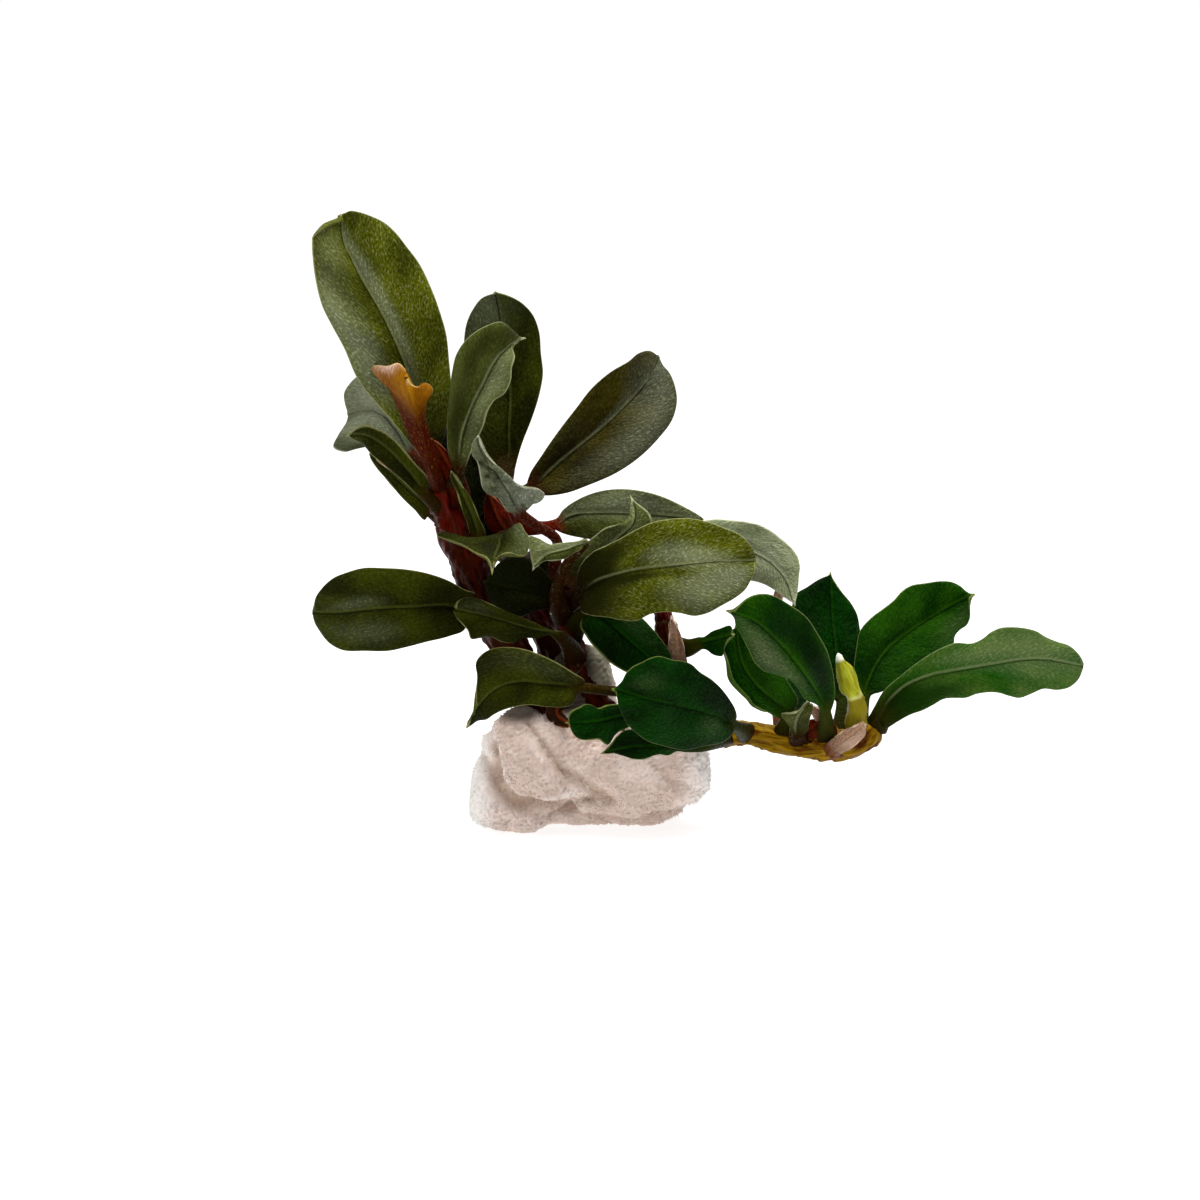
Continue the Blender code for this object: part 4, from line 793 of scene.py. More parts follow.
LOOKS = {
    "olive": Look((46, 50, 3), (84, 89, 12), (148, 154, 128), (96, 100, 66),
                  (24, 10, 3), (126, 132, 94), (150, 150, 104), flecked=0.2),
    "moss": Look((22, 24, 0), (50, 55, 2), (104, 110, 88), (84, 88, 50),
                 (40, 28, 4), (70, 76, 36), (126, 124, 78)),
    "brown": Look((20, 14, 0), (50, 45, 2), (118, 123, 102), (70, 66, 36),
                  (44, 10, 4), (96, 98, 70), (84, 80, 46)),
    "grey": Look((44, 48, 14), (86, 93, 46), (142, 149, 118), (112, 116, 82),
                 (40, 18, 4), (128, 134, 100), (150, 152, 116)),
    "silver_sheen": Look((74, 79, 56), (116, 121, 96), (166, 170, 154), (118, 120, 92),
                   (62, 14, 6), (134, 138, 112), (172, 170, 148)),
    "pale": Look((90, 98, 58), (134, 143, 108), (166, 172, 146), (128, 134, 100),
                 (110, 96, 44), (172, 176, 146), (196, 196, 168)),
    "deep": Look((1, 17, 0), (7, 48, 0), (84, 94, 62), (56, 70, 30),
                 (36, 38, 4), (26, 60, 4), (108, 116, 62), gloss=GREEN_GLOSS),
    "green": Look((4, 38, 0), (36, 74, 1), (92, 102, 70), (74, 88, 42),
                  (44, 48, 5), (48, 82, 14), (118, 124, 74), gloss=GREEN_GLOSS),
    "fresh": Look((14, 68, 0), (76, 97, 42), (128, 140, 102), (88, 104, 58),
                  (40, 56, 2), (124, 134, 92), (112, 122, 84)),
    # Near black as painted shade, for leaves that lie in deep shade.
    "shaded": Look((4, 6, 0), (12, 18, 1), (40, 48, 26), (30, 34, 14),
                   (20, 4, 1), (22, 30, 8), (40, 44, 20)),
    "crimson": Look((40, 3, 1), (96, 14, 6), (150, 90, 60), (70, 12, 4),
                    (44, 4, 1), (120, 50, 26), (150, 96, 62)),
    "bract": Look((128, 76, 6), (166, 112, 12), (232, 198, 180), (130, 76, 12),
                  (60, 6, 1), (176, 124, 30), (214, 190, 124), 0.5,
                  petiole_end=1.0, flecked=0.0, rib_shade_strength=0.15),
    "papery": Look((120, 84, 60), (196, 168, 150), (236, 226, 216), (156, 118, 94),
                   (96, 40, 22), (186, 150, 124), (226, 210, 196), 0.5, rib_shade_strength=0.1),
    "membrane": Look((116, 80, 58), (178, 148, 128), (220, 204, 192), (156, 118, 94),
                     (120, 66, 40), (176, 138, 108), (216, 192, 174), 0.5, rib_shade_strength=0.1),
}
LOOKS["root"] = LOOKS["crimson"]._replace(dark=(20, 6, 1), body=(52, 22, 4))
LOOKS["grey_on_red"] = LOOKS["grey"]._replace(petiole=(92, 14, 5))


def seen(across, up, forward):
    """World points, in mm, of points seen at (across, up) and lying forward of y = 0."""
    across, up, forward = np.broadcast_arrays(across, up, forward)
    sine, cosine = math.sin(VIEW_ELEVATION), math.cos(VIEW_ELEVATION)
    on_sheet = np.stack([across, up * sine, up * cosine], axis=-1)
    eye = viewer()
    share = (-forward - eye[1]) / (on_sheet[..., 1] - eye[1])
    return eye + (on_sheet - eye) * share[..., None]


def viewer():
    """Where the viewer's eye is, in mm."""
    sine, cosine = math.sin(VIEW_ELEVATION), math.cos(VIEW_ELEVATION)
    eye_across, eye_up = VIEW_MIDDLE
    return np.array([eye_across,
                     eye_up * sine - VIEW_DISTANCE * cosine,
                     eye_up * cosine + VIEW_DISTANCE * sine])


def smooth_at(knots, values, where):
    """A smooth curve through values at their knots, read at each place in where."""
    knots, values = np.asarray(knots, float), np.asarray(values, float)
    steps = np.diff(knots)[:, None]
    slopes = np.diff(values, axis=0) / steps
    tangents = np.empty_like(values)
    tangents[1:-1] = ((slopes[:-1] * steps[1:] + slopes[1:] * steps[:-1])
                      / (steps[:-1] + steps[1:]))
    tangents[0] = 1.5 * slopes[0] - 0.5 * tangents[1]
    tangents[-1] = 1.5 * slopes[-1] - 0.5 * tangents[-2]
    span = np.clip(np.searchsorted(knots, where, side="right") - 1, 0, len(steps) - 1)
    step = steps[span]
    f = (np.asarray(where)[:, None] - knots[span][:, None]) / step
    return ((2 * f**3 - 3 * f**2 + 1) * values[span]
            + (f**3 - 2 * f**2 + f) * step * tangents[span]
            + (3 * f**2 - 2 * f**3) * values[span + 1]
            + (f**3 - f**2) * step * tangents[span + 1])


def eased(values, start, end):
    """0 below start and 1 above end, with a soft step between them."""
    f = np.clip((values - start) / (end - start), 0.0, 1.0)
    return f * f * (3.0 - 2.0 * f)


def hump(values, middle, reach):
    """1 at the middle and falling off smoothly over about its reach."""
    return np.exp(-((values - middle) / reach) ** 2)


def mottle(places, size, seed, waves=24):
    """A smooth random field of about -1 to 1 over places in mm, with patches this big."""
    random = np.random.default_rng(seed)
    directions = random.normal(size=(waves, places.shape[-1]))
    directions /= np.linalg.norm(directions, axis=1, keepdims=True)
    turns = 2.0 * math.pi / (2.0 * size * random.uniform(0.7, 1.5, waves))
    phases = random.uniform(0.0, 2.0 * math.pi, waves)
    return np.sin(places @ (directions * turns[:, None]).T + phases).sum(-1) / math.sqrt(waves)


class Curve:
    """A smooth curve through points of any dimension, read by its share of the length."""

    def __init__(self, points):
        points = np.asarray(points, float)
        chords = np.linalg.norm(np.diff(points[:, :3], axis=0), axis=1)
        self.knots = np.concatenate([[0.0], np.cumsum(chords)])
        self.points = points
        self.places = np.linspace(0.0, self.knots[-1], CURVE_STEPS)
        fine = smooth_at(self.knots, points, self.places)
        pieces = np.linalg.norm(np.diff(fine[:, :3], axis=0), axis=1)
        self.lengths = np.concatenate([[0.0], np.cumsum(pieces)])
        self.length = self.lengths[-1]

    def at(self, share):
        """The points at these shares of the length, from 0 to 1."""
        where = np.interp(np.asarray(share) * self.length, self.lengths, self.places)
        return smooth_at(self.knots, self.points, where)

    def share_of(self, number):
        """The share of the length at which the curve passes its point of this number."""
        return float(np.interp(self.knots[number], self.places, self.lengths)) / self.length


def tube_curve(tube):
    """The curve of a tube's axis and radius, which starts on its carrier's axis."""
    points = list(tube.points)
    if tube.carrier:
        carrier = tube_curve(TUBES[tube.carrier])
        if tube.root:
            foot = carrier.at([tube.root])[0]
        else:
            axis = carrier.at(np.linspace(0.0, 1.0, CURVE_STEPS))
            foot = axis[np.argmin(np.linalg.norm(axis[:, :3] - points[0][:3], axis=1))]
        points.insert(0, (*foot[:3], points[0][3]))
    return Curve(points)


class Blade:
    """The middle surface of a leaf, read by its share of the length and place across."""

    def __init__(self, leaf, dress):
        foot = tube_curve(TUBES[leaf.carrier]).at([leaf.root])[0][:3]
        self.leaf, self.dress = leaf, dress
        self.curve = Curve([tuple(foot), *leaf.spine])
        self.start = self.curve.share_of(leaf.blade_from)
        self.margins = {}
        if np.ndim(leaf.left) == 2:
            self.margins = {1: self.margin(1, leaf.left), -1: self.margin(-1, leaf.right)}

    def on_blade(self, along):
        """The share of the blade alone, which is below 0 on the petiole."""
        return (np.asarray(along) - self.start) / (1.0 - self.start)

    def to_left(self, along):
        """The direction across the rib, as seen, at each row."""
        step = 0.5 / CURVE_STEPS
        ahead = self.curve.at(np.minimum(np.asarray(along) + step, 1.0))
        behind = self.curve.at(np.maximum(np.asarray(along) - step, 0.0))
        walk = unit((ahead - behind)[:, :2])
        return np.stack([-walk[:, 1], walk[:, 0]], axis=1)

    def margin(self, side, points):
        """The curve of a margin from the petiole through these points to the tip."""
        ends = np.array([self.start, 1.0])
        aside = side * self.to_left(ends)
        base, tip = self.curve.at(ends)[:, :2] + aside * [[PETIOLE_HALF_WIDTH],
                                                          [HOOK_HALF_WIDTH]]
        return Curve([(*point, 0.0) for point in (base, *points, tip)])

    def half_width(self, along, side):
        """The half width at each row, from the leaf's numbers, with the tip rounded."""
        widths = self.leaf.left if side > 0 else self.leaf.right
        ends = np.array([PETIOLE_HALF_WIDTH, *widths, self.leaf.tip]) ** EDGE_ROUNDNESS
        knots = np.linspace(0.0, 1.0, len(ends))
        place = np.clip(self.on_blade(along), 0.0, 1.0)
        squared = smooth_at(knots, ends[:, None], place)[:, 0]
        least = min(self.leaf.tip, PETIOLE_HALF_WIDTH) ** EDGE_ROUNDNESS
        half = np.maximum(squared, least) ** (1.0 / EDGE_ROUNDNESS)
        rounded_length = 1.5 * self.leaf.tip + 0.3
        to_tip = (1.0 - along) * self.curve.length / rounded_length
        rounding = np.sqrt(1.0 - (1.0 - np.clip(to_tip, 0.0, 1.0)) ** 2)
        return np.maximum(half * rounding, HOOK_HALF_WIDTH)

    def reach(self, along, side):
        """The way from the rib to the margin, as seen, at each row."""
        aside = side * self.to_left(along)
        place = self.on_blade(along)
        if self.margins:
            edge = self.margins[side].at(np.clip(place, 0.0, 1.0))[:, :2]
            way = np.where((place < 0.0)[:, None], aside * PETIOLE_HALF_WIDTH,
                           edge - self.curve.at(along)[:, :2])
        else:
            way = aside * self.half_width(along, side)[:, None]
        spread = PETIOLE_HALF_WIDTH * FOOT_SPREAD * hump(along * self.curve.length, 0.0,
                                                         FOOT_REACH)
        return way + aside * spread[:, None]

    def at(self, along, across):
        """World points in mm for each row along and each column across, which runs from
        -1, the right margin, to 1, the left margin, and may differ from row to row."""
        leaf, along = self.leaf, np.asarray(along)
        across = np.broadcast_to(across, (len(along), np.shape(across)[-1]))
        spine = self.curve.at(along)
        way = np.where((across >= 0.0)[..., None], self.reach(along, 1)[:, None],
                       self.reach(along, -1)[:, None])
        half = np.linalg.norm(way, axis=-1)
        place = self.on_blade(along)
        height, waves, phase = self.dress.wave
        rise = (height * np.sin(2.0 * math.pi * (waves * place + phase))[:, None]
                * eased(place, *WAVE_FADE)[:, None] * np.abs(across) ** 3 * np.sign(across + 0.3))
        lean = leaf.turn * across + leaf.fold * np.abs(across) - leaf.curl * across**2
        seen_at = spine[:, None, :2] + way * np.abs(across)[..., None]
        return seen(seen_at[..., 0], seen_at[..., 1], spine[:, 2:3] + half * lean + rise)


def columns():
    """Places across a leaf, close together along the midrib and at both margins."""
    even = np.linspace(-1.0, 1.0, 2 * HALF_COLUMNS + 1)
    return even - COLUMN_CROWDING / (2.0 * math.pi) * np.sin(2.0 * math.pi * even)


def unit(vectors):
    return vectors / np.maximum(np.linalg.norm(vectors, axis=-1, keepdims=True), 1e-9)


def rolled(blade, along, across, middle):
    """The middle surface with the dress's stretches of margin rolled up."""
    for roll in blade.dress.rolls:
        half = np.linalg.norm(blade.reach(along, roll.side), axis=1)
        share = blade.on_blade(along)
        envelope = np.sqrt(np.clip(
            1.0 - ((share - 0.5 * (roll.start + roll.end))
                   / (0.5 * (roll.end - roll.start))) ** 2, 0.0, 1.0))
        length = np.minimum(roll.length * envelope, ROLLED_MOST * half)
        bend = 1.0 - length / half
        edge = blade.at(along, (roll.side * bend)[:, None])
        beside = blade.at(along, (roll.side * (bend - 0.02))[:, None])
        outward = unit(edge - beside)
        forward = unit(np.cross(np.gradient(edge, axis=0), outward * roll.side))
        beyond = np.maximum(roll.side * across - bend[:, None], 0.0) * half[:, None]
        turn = (beyond / roll.radius)[..., None]
        curled = edge + roll.radius * (outward * np.sin(turn) + forward * (1.0 - np.cos(turn)))
        middle = np.where((beyond > 0.0)[..., None], curled, middle)
    return middle


def loft(name, rings, values, material, node=None):
    """A piece with a closed skin through rings of points in mm, painted with values."""
    rows, around = rings.shape[:2]
    index = np.arange(rows * around).reshape(rows, around)
    after = np.roll(index, -1, axis=1)
    quads = np.stack([index[:-1], after[:-1], after[1:], index[1:]], axis=-1)
    faces = [*quads.reshape(-1, 4).tolist(), index[0, ::-1].tolist(), index[-1].tolist()]
    mesh = bpy.data.meshes.new(name + "_visual")
    mesh.from_pydata((rings.reshape(-1, 3) * MM).tolist(), [], faces)
    for key, value in values.items():
        paint_points(mesh, key, value)
    add_piece(name, mesh, material, node)


def paint_points(mesh, name, values):
    """Stores a vector on every point of a mesh, for its material."""
    layer = mesh.attributes.new(name, "FLOAT_VECTOR", "POINT")
    layer.data.foreach_set("vector", values.astype(np.float32).ravel())


def add_piece(name, mesh, material, node=None):
    """A piece with its faces turned out and shaded smooth, in place of its node if any."""
    shape = bmesh.new()
    shape.from_mesh(mesh)
    bmesh.ops.recalc_face_normals(shape, faces=shape.faces)
    shape.to_mesh(mesh)
    shape.free()
    mesh.shade_smooth()
    mesh.materials.append(material)
    piece = bpy.data.objects.new(name + "_visual", mesh)
    bpy.context.scene.collection.objects.link(piece)
    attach(piece, BODY)
    if node:
        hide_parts(node)
    return piece


def make_leaf(name, leaf, dress, seed, node=None):
    """A leaf with its midrib, its embossed face, its rolled margins and its point."""
    blade = Blade(leaf, dress)
    length = blade.curve.length
    along = np.linspace(0.0, 1.0, max(LEAST_ROWS, round(length / ROW_STEP)))
    across = columns()
    middle = rolled(blade, along, across, blade.at(along, across))
    normal = unit(np.cross(np.gradient(middle, axis=0), np.gradient(middle, axis=1)))

    # Where each point is: its share of the blade, its place across, and both in mm.
    place = blade.on_blade(along)[:, None] + 0.0 * across
    flat = across[None, :] + 0.0 * place
    left, right = (np.linalg.norm(blade.reach(along, side), axis=1)[:, None]
                   for side in (1, -1))
    half = np.where(flat >= 0.0, left, right)
    reach = flat * half
    travel = along[:, None] * length + 0.0 * flat

    # A round petiole turns into a flat blade, whose relief fades out towards its margins.
    grown = eased(place, *PETIOLE_TO_BLADE)
    foot = hump(travel, 0.0, FOOT_REACH)
    stalk = (0.5 * PETIOLE_THICKNESS * (1.0 + FOOT_SWELL * foot)
             * np.sqrt(np.clip(1.0 - flat**2, 0.0, 1.0)))
    plate = 0.5 * BLADE_THICKNESS * np.sqrt(np.clip(1.0 - flat**8, 0.0, 1.0))
    thick = stalk + (plate - stalk) * grown
    rising = np.clip(half / FULL_RELIEF_AT, 0.0, 1.0) * grown
    inner = np.clip(1.0 - np.abs(flat) ** 4, 0.0, 1.0)
    taper = 1.0 - RIB_TAPER * eased(place, 0.2, 1.0)
    valley = (RIB_HEIGHT * hump(reach, 0.0, RIB_REACH)
              - GROOVE_DEPTH * hump(reach, 0.0, GROOVE_REACH))
    keel = KEEL_HEIGHT * hump(reach, 0.0, KEEL_REACH)
    swell = relief(travel, reach, seed)
    warp = WARP_HEIGHT * mottle(np.stack([travel, reach], axis=-1), WARP_SIZE, seed + 2)
    centre = middle + normal * (warp * rising * inner)[..., None]
    front = thick + (valley * taper + dress.emboss * swell) * rising * inner
    back = thick + (keel * taper + BACK_RELIEF * swell) * rising * inner
    top = centre + normal * front[..., None]
    bottom = centre - normal * back[..., None]
    rings = np.concatenate([top, bottom[:, -2:0:-1]], axis=1)

    facing = np.ones_like(flat)
    facing[:, [0, -1]] = 0.5
    # Painted sheen from the dress's patches, and painted shade where their amount is below 0.
    silver_sheen = np.zeros_like(flat)
    for at, side, reach_along, reach_across, amount in dress.painted_sheen_and_shade:
        silver_sheen += amount * hump(place, at, reach_along) * hump(flat, side, reach_across)
    # The side of the midrib that faces up takes the painted highlight and the other side the
    # painted shade line.
    upper = np.sign(blade.to_left(along[along > blade.start])[:, 1].mean())
    rims = np.where(flat >= 0.0, *dress.rims)
    values = {
        "grain": fleck_grain(travel, np.abs(reach), flat > 0.0, seed),
        "place": np.stack([place, foot, facing], axis=-1),
        "zone": np.stack([(half - np.abs(reach)) / rims, silver_sheen, reach * upper], axis=-1),
    }
    for key, value in values.items():
        lower = value[:, -2:0:-1].copy()
        if key == "place":
            lower[..., 2] = 1.0 - facing[:, -2:0:-1]
        values[key] = np.concatenate([value, lower], axis=1)
    if dress.hook:
        rings, values = hooked(rings, values, dress.hook)
    loft(name, rings, values, leaf_material(dress.look), node)


def relief(travel, reach, seed):
    """How far a leaf's face stands out, in mm, from its side veins and its blisters."""
    spots = np.stack([travel * BLISTER_STRETCH[0], reach * BLISTER_STRETCH[1]], axis=-1)
    drift = VEIN_DRIFT * mottle(spots, VEIN_DRIFT_SIZE, seed + 3)
    slanted = travel - VEIN_SLANT * np.abs(reach)
    swell = VEIN_HEIGHT * np.cos(2.0 * math.pi * slanted / VEIN_STEP + drift)
    for number, (height, size) in enumerate(BLISTERS):
        swell = swell + height * mottle(spots, size, seed + number)
    return swell


def fleck_grain(travel, aside, on_left, seed):
    """Where each point is in the noise of the flecks, which slant away from the midrib."""
    run = travel * math.cos(FLECK_TILT) + aside * math.sin(FLECK_TILT)
    line = aside * math.cos(FLECK_TILT) - travel * math.sin(FLECK_TILT)
    return np.stack([run, line + HALVES_APART * on_left, 0.0 * run + LEAVES_APART * seed],
                    axis=-1)


def hooked(rings, values, length):
    """The rings with a small point added after the last of them."""
    centres = rings.mean(axis=1)
    ahead = unit(centres[-1] - centres[-4])
    section = rings[-1] - centres[-1]
    shares = np.linspace(0.0, 1.0, HOOK_ROWS + 1)[1:]
    sizes = HOOK_END + (1.0 - HOOK_END) * (1.0 - shares) ** HOOK_TAPER
    added = ((centres[-1] + ahead * (length * shares)[:, None])[:, None]
             + section * sizes[:, None, None])
    for key, value in values.items():
        more = np.repeat(value[-1:], HOOK_ROWS, axis=0)
        if key == "place":
            more[..., 0] += shares[:, None]
        values[key] = np.concatenate([value, more])
    return np.concatenate([rings, added]), values


def make_stem(name, tube, material, seed):
    """A stem with the ringed ledges and the ridges of the leaf bases it is made of."""
    curve = tube_curve(tube)
    count = max(LEAST_RINGS, round(curve.length / RING_STEP))
    points = curve.at(np.linspace(0.0, 1.0, count))
    axis = seen(*points[:, :3].T)
    ahead = unit(np.gradient(axis, axis=0))
    side = unit(np.cross(ahead, (0.0, 1.0, 0.0)))
    other = np.cross(ahead, side)
    turn = np.linspace(0.0, 2.0 * math.pi, RING_POINTS, endpoint=False)
    end = np.linspace(0.0, curve.length, count)
    travel = end[:, None] + 0.0 * turn
    round_place = np.stack([np.cos(turn) + 0.0 * travel, np.sin(turn) + 0.0 * travel], axis=-1)
    grain = np.concatenate([round_place * points[:, 3][:, None, None] * GRAIN_STRETCH[0],
                            travel[..., None] * GRAIN_STRETCH[1]], axis=-1)

    torn = LEDGE_TEAR * mottle(grain, TEAR_SIZE, seed + 2)
    wander = LEDGE_WANDER * np.sin(turn + 2.0 * travel / LEDGE_STEP)
    ledge = (1.0 - (travel / LEDGE_STEP + wander + torn) % 1.0) ** 2
    swell = (1.0 + LEDGE_HEIGHT * (ledge - 0.3)
             + RIDGE_HEIGHT * mottle(grain, RIDGE_SIZE, seed)
             + GRAIN_HEIGHT * mottle(grain, GRAIN_SIZE, seed + 1))
    closing = np.sqrt(np.clip((curve.length - end) / points[-1, 3], 0.02, 1.0))
    radius = (points[:, 3] * closing)[:, None] * swell
    rings = axis[:, None] + radius[..., None] * (
        side[:, None] * np.cos(turn)[:, None] + other[:, None] * np.sin(turn)[:, None])
    height = (travel - SUNK) / (curve.length - SUNK)
    values = {"grain": grain, "ledge": np.stack([ledge, height, torn], axis=-1)}
    loft(name, rings, values, material, name)


def on_screen(colour):
    """A colour given as it looks on screen, as linear light with an alpha of 1."""
    return (*((channel / 255.0) ** 2.2 for channel in colour), 1.0)


class Paint:
    """A material and the nodes that colour it."""

    def __init__(self, name, roughness, specular, gloss=WHITE):
        self.material = bpy.data.materials.new(name)
        self.material.use_nodes = True
        self.tree = self.material.node_tree
        self.shader = self.tree.nodes["Principled BSDF"]
        self.shader.inputs["Roughness"].default_value = roughness
        self.shader.inputs["Specular IOR Level"].default_value = specular
        self.shader.inputs["Specular Tint"].default_value = gloss

    def node(self, kind, inputs, **settings):
        made = self.tree.nodes.new(kind)
        for key, value in settings.items():
            setattr(made, key, value)
        for key, value in inputs.items():
            self.feed(made.inputs[key], value)
        return made

    def feed(self, socket, value):
        if isinstance(value, bpy.types.NodeSocket):
            self.tree.links.new(value, socket)
        else:
            socket.default_value = value

    def painted(self, name):
        """What is painted on the points under this name, as a vector."""
        return self.node("ShaderNodeAttribute", {}, attribute_name=name).outputs["Vector"]

    def parts(self, vector):
        made = self.node("ShaderNodeSeparateXYZ", {"Vector": vector})
        return made.outputs["X"], made.outputs["Y"], made.outputs["Z"]

    def noise(self, vector, stretch, detail, roughness):
        """Noise over a vector that is first stretched by a factor for each axis."""
        scaled = self.node("ShaderNodeVectorMath", {0: vector, 1: stretch},
                           operation="MULTIPLY").outputs["Vector"]
        inputs = {"Vector": scaled, "Scale": 1.0, "Detail": detail, "Roughness": roughness}
        return self.node("ShaderNodeTexNoise", inputs).outputs["Fac"]

    def step(self, value, start, end, low=0.0, high=1.0):
        """low up to start and high from end on, with a soft step between them."""
        inputs = {"Value": value, "From Min": start, "From Max": end, "To Min": low,
                  "To Max": high}
        made = self.node("ShaderNodeMapRange", inputs, interpolation_type="SMOOTHSTEP")
        return made.outputs["Result"]

    def change(self, place, ends, low=0.0, high=1.0):
        """A step in a place, which is in metres, between two ends that are in mm."""
        return self.step(place, ends[0] * MM, ends[1] * MM, low, high)

    def band(self, value, middle, reach, amount):
        """The amount at the middle, falling to nothing at its reach on both sides."""
        away = self.maths("ABSOLUTE", self.plus(value, -middle), 0.0)
        return self.step(away, reach, 0.3 * reach, 0.0, amount)

    def maths(self, operation, first, second):
        made = self.node("ShaderNodeMath", {0: first, 1: second}, operation=operation)
        return made.outputs["Value"]

    def times(self, first, second):
        return self.maths("MULTIPLY", first, second)

    def plus(self, first, second):
        return self.maths("ADD", first, second)

    def blend(self, share, first, second):
        """The first colour turning into the second by a share."""
        made = self.node("ShaderNodeMix", {}, data_type="RGBA")
        self.feed(made.inputs["Factor"], share)
        colours = [socket for socket in made.inputs if socket.type == "RGBA"]
        self.feed(colours[0], first)
        self.feed(colours[1], second)
        return [socket for socket in made.outputs if socket.type == "RGBA"][0]

    def colour(self, colour):
        self.feed(self.shader.inputs["Base Color"], colour)

    def roughness(self, value):
        self.feed(self.shader.inputs["Roughness"], value)

    def bump(self, height, distance, strength):
        inputs = {"Height": height, "Distance": distance * MM, "Strength": strength}
        made = self.node("ShaderNodeBump", inputs)
        self.feed(self.shader.inputs["Normal"], made.outputs["Normal"])


def leaf_material(look_name):
    """A satin leaf: mottled, flecked, with painted highlights and shade, a midrib and a thin
    margin.
    """
    made = bpy.data.materials.get("blade_" + look_name)
    if made:
        return made
    look = LOOKS[look_name]
    dark, body, silver_sheen, under, petiole, rib, margin = map(on_screen, look[:7])
    shade = (*(LEAF_SHADE * channel for channel in dark[:3]), 1.0)
    paint = Paint("blade_" + look_name, look.roughness, LEAF_SPECULAR, look.gloss)
    grain = paint.painted("grain")
    along, foot, facing = paint.parts(paint.painted("place"))
    edge, painted_sheen_and_shade, aside = paint.parts(paint.painted("zone"))
    cells = paint.noise(grain, (2.9, 5.6, 1.0), 2.5, 0.6)
    fine = paint.noise(grain, (5.0, 11.0, 1.0), 2.0, 0.5)
    ripples = paint.noise(grain, (1.5, 2.5, 1.0), 2.0, 0.6)
    patches = paint.noise(grain, (0.16, 0.26, 1.0), 2.0, 0.5)

    # The face, mottled and then flecked with silver, partly its own silvery dots and partly
    # painted glints of its fine relief, with painted shade in the gaps between the flecks.
    tone = paint.plus(paint.times(patches, 0.7), paint.times(cells, 0.4))
    colour = paint.blend(paint.step(tone, 0.40, 0.72), dark, body)
    flecks = paint.step(cells, 0.53, 0.64)
    strewn = paint.step(patches, 0.38, 0.62, 0.4 * look.flecked, 1.5 * look.flecked)
    colour = paint.blend(paint.times(flecks, strewn), colour, silver_sheen)
    shaded_gaps = paint.step(cells, 0.46, 0.34)
    colour = paint.blend(paint.times(shaded_gaps, 2.5 * look.flecked), colour, shade)

    # The dress's patches of painted shade and of painted sheen, the sheen flecked.
    colour = paint.blend(paint.step(painted_sheen_and_shade, 0.0, -0.9), colour, shade)
    gleam = paint.times(painted_sheen_and_shade, paint.plus(0.35, paint.times(flecks, 0.5)))
    colour = paint.blend(paint.maths("MAXIMUM", gleam, 0.0), colour, silver_sheen)

    # The midrib with a painted highlight on its upper side and a painted shade line below
    # it, and the pale margin, partly its own pale edge and partly a painted glint.
    on_leaf = paint.step(along, 0.0, 0.15)
    painted_rib_highlight = paint.times(paint.band(aside, 0.16, 0.20, 0.45), on_leaf)
    colour = paint.blend(painted_rib_highlight, colour, rib)
    painted_rib_shade = paint.times(paint.band(aside, -0.11, 0.14, look.rib_shade_strength), on_leaf)
    colour = paint.blend(painted_rib_shade, colour, shade)
    uneven = paint.plus(edge, paint.times(cells, 0.8))
    colour = paint.blend(paint.step(uneven, 1.5, 0.7, 0.0, 0.7), colour, margin)

    # The back, the petiole with its dark streaked foot, and the point at the tip.
    below = paint.blend(paint.step(tone, 0.3, 0.8), under, body)
    colour = paint.blend(facing, below, colour)
    stalk = paint.blend(paint.step(cells, 0.55, 0.75, 0.0, 0.45), petiole, rib)
    on_stalk = paint.step(along, look.petiole_end, 0.45 * look.petiole_end - 0.06)
    colour = paint.blend(on_stalk, colour, stalk)
    streaks = paint.step(cells, 0.35, 0.65, 0.6, 1.0)
    colour = paint.blend(paint.times(foot, streaks), colour, on_screen((30, 4, 1)))
    colour = paint.blend(paint.step(along, 1.02, 1.30, 0.0, 0.8), colour, margin)
    paint.colour(colour)

    paint.roughness(paint.step(cells, 0.3, 0.7, look.roughness + 0.08, look.roughness - 0.08))
    grains = paint.plus(cells, paint.times(fine, 0.3))
    paint.bump(paint.plus(paint.times(ripples, 1.2), grains), 0.22, 0.9)
    return paint.material


def streaked(name, colours, roughness, gloss=OLIVE_GLOSS):
    """A satin paint streaked along a stem, with blotches and paler ledges.

    It comes with its colour, the height along the stem and the streaks.
    """
    pale, dark, blotch, rim = map(on_screen, colours)
    paint = Paint(name, roughness, STEM_SPECULAR, gloss)
    grain = paint.painted("grain")
    ledge, height, torn = paint.parts(paint.painted("ledge"))
    streaks = paint.noise(grain, (1.4, 1.4, 0.4), 4.0, 0.6)
    blotches = paint.noise(grain, (0.4, 0.4, 0.5), 2.0, 0.5)
    colour = paint.blend(paint.step(streaks, 0.35, 0.66), dark, pale)
    colour = paint.blend(paint.step(blotches, 0.53, 0.68), colour, blotch)
    rims = paint.times(paint.step(ledge, 0.84, 0.98), paint.step(torn, -0.1, 0.25, 0.2, 0.8))
    colour = paint.blend(rims, colour, rim)
    paint.roughness(paint.step(streaks, 0.3, 0.7, roughness - 0.12, roughness + 0.12))
    paint.bump(streaks, 0.18, 0.6)
    return paint, colour, height, streaks


def stem_material():
    """Dark red stems with paler brown edges on the old leaf bases, and painted shade that darkens
    them low down.
    """
    colours = (84, 4, 2), (30, 1, 0), (50, 12, 3), (104, 50, 28)
    paint, colour, height, _ = streaked("stem_red", colours, 0.45, RED_GLOSS)
    # Painted shade, deepest low down on each stem.
    shade_low_down = paint.step(height, 0.95, 0.55, 0.0, 0.75)
    paint.colour(paint.blend(shade_low_down, colour, on_screen((14, 3, 0))))
    return paint.material


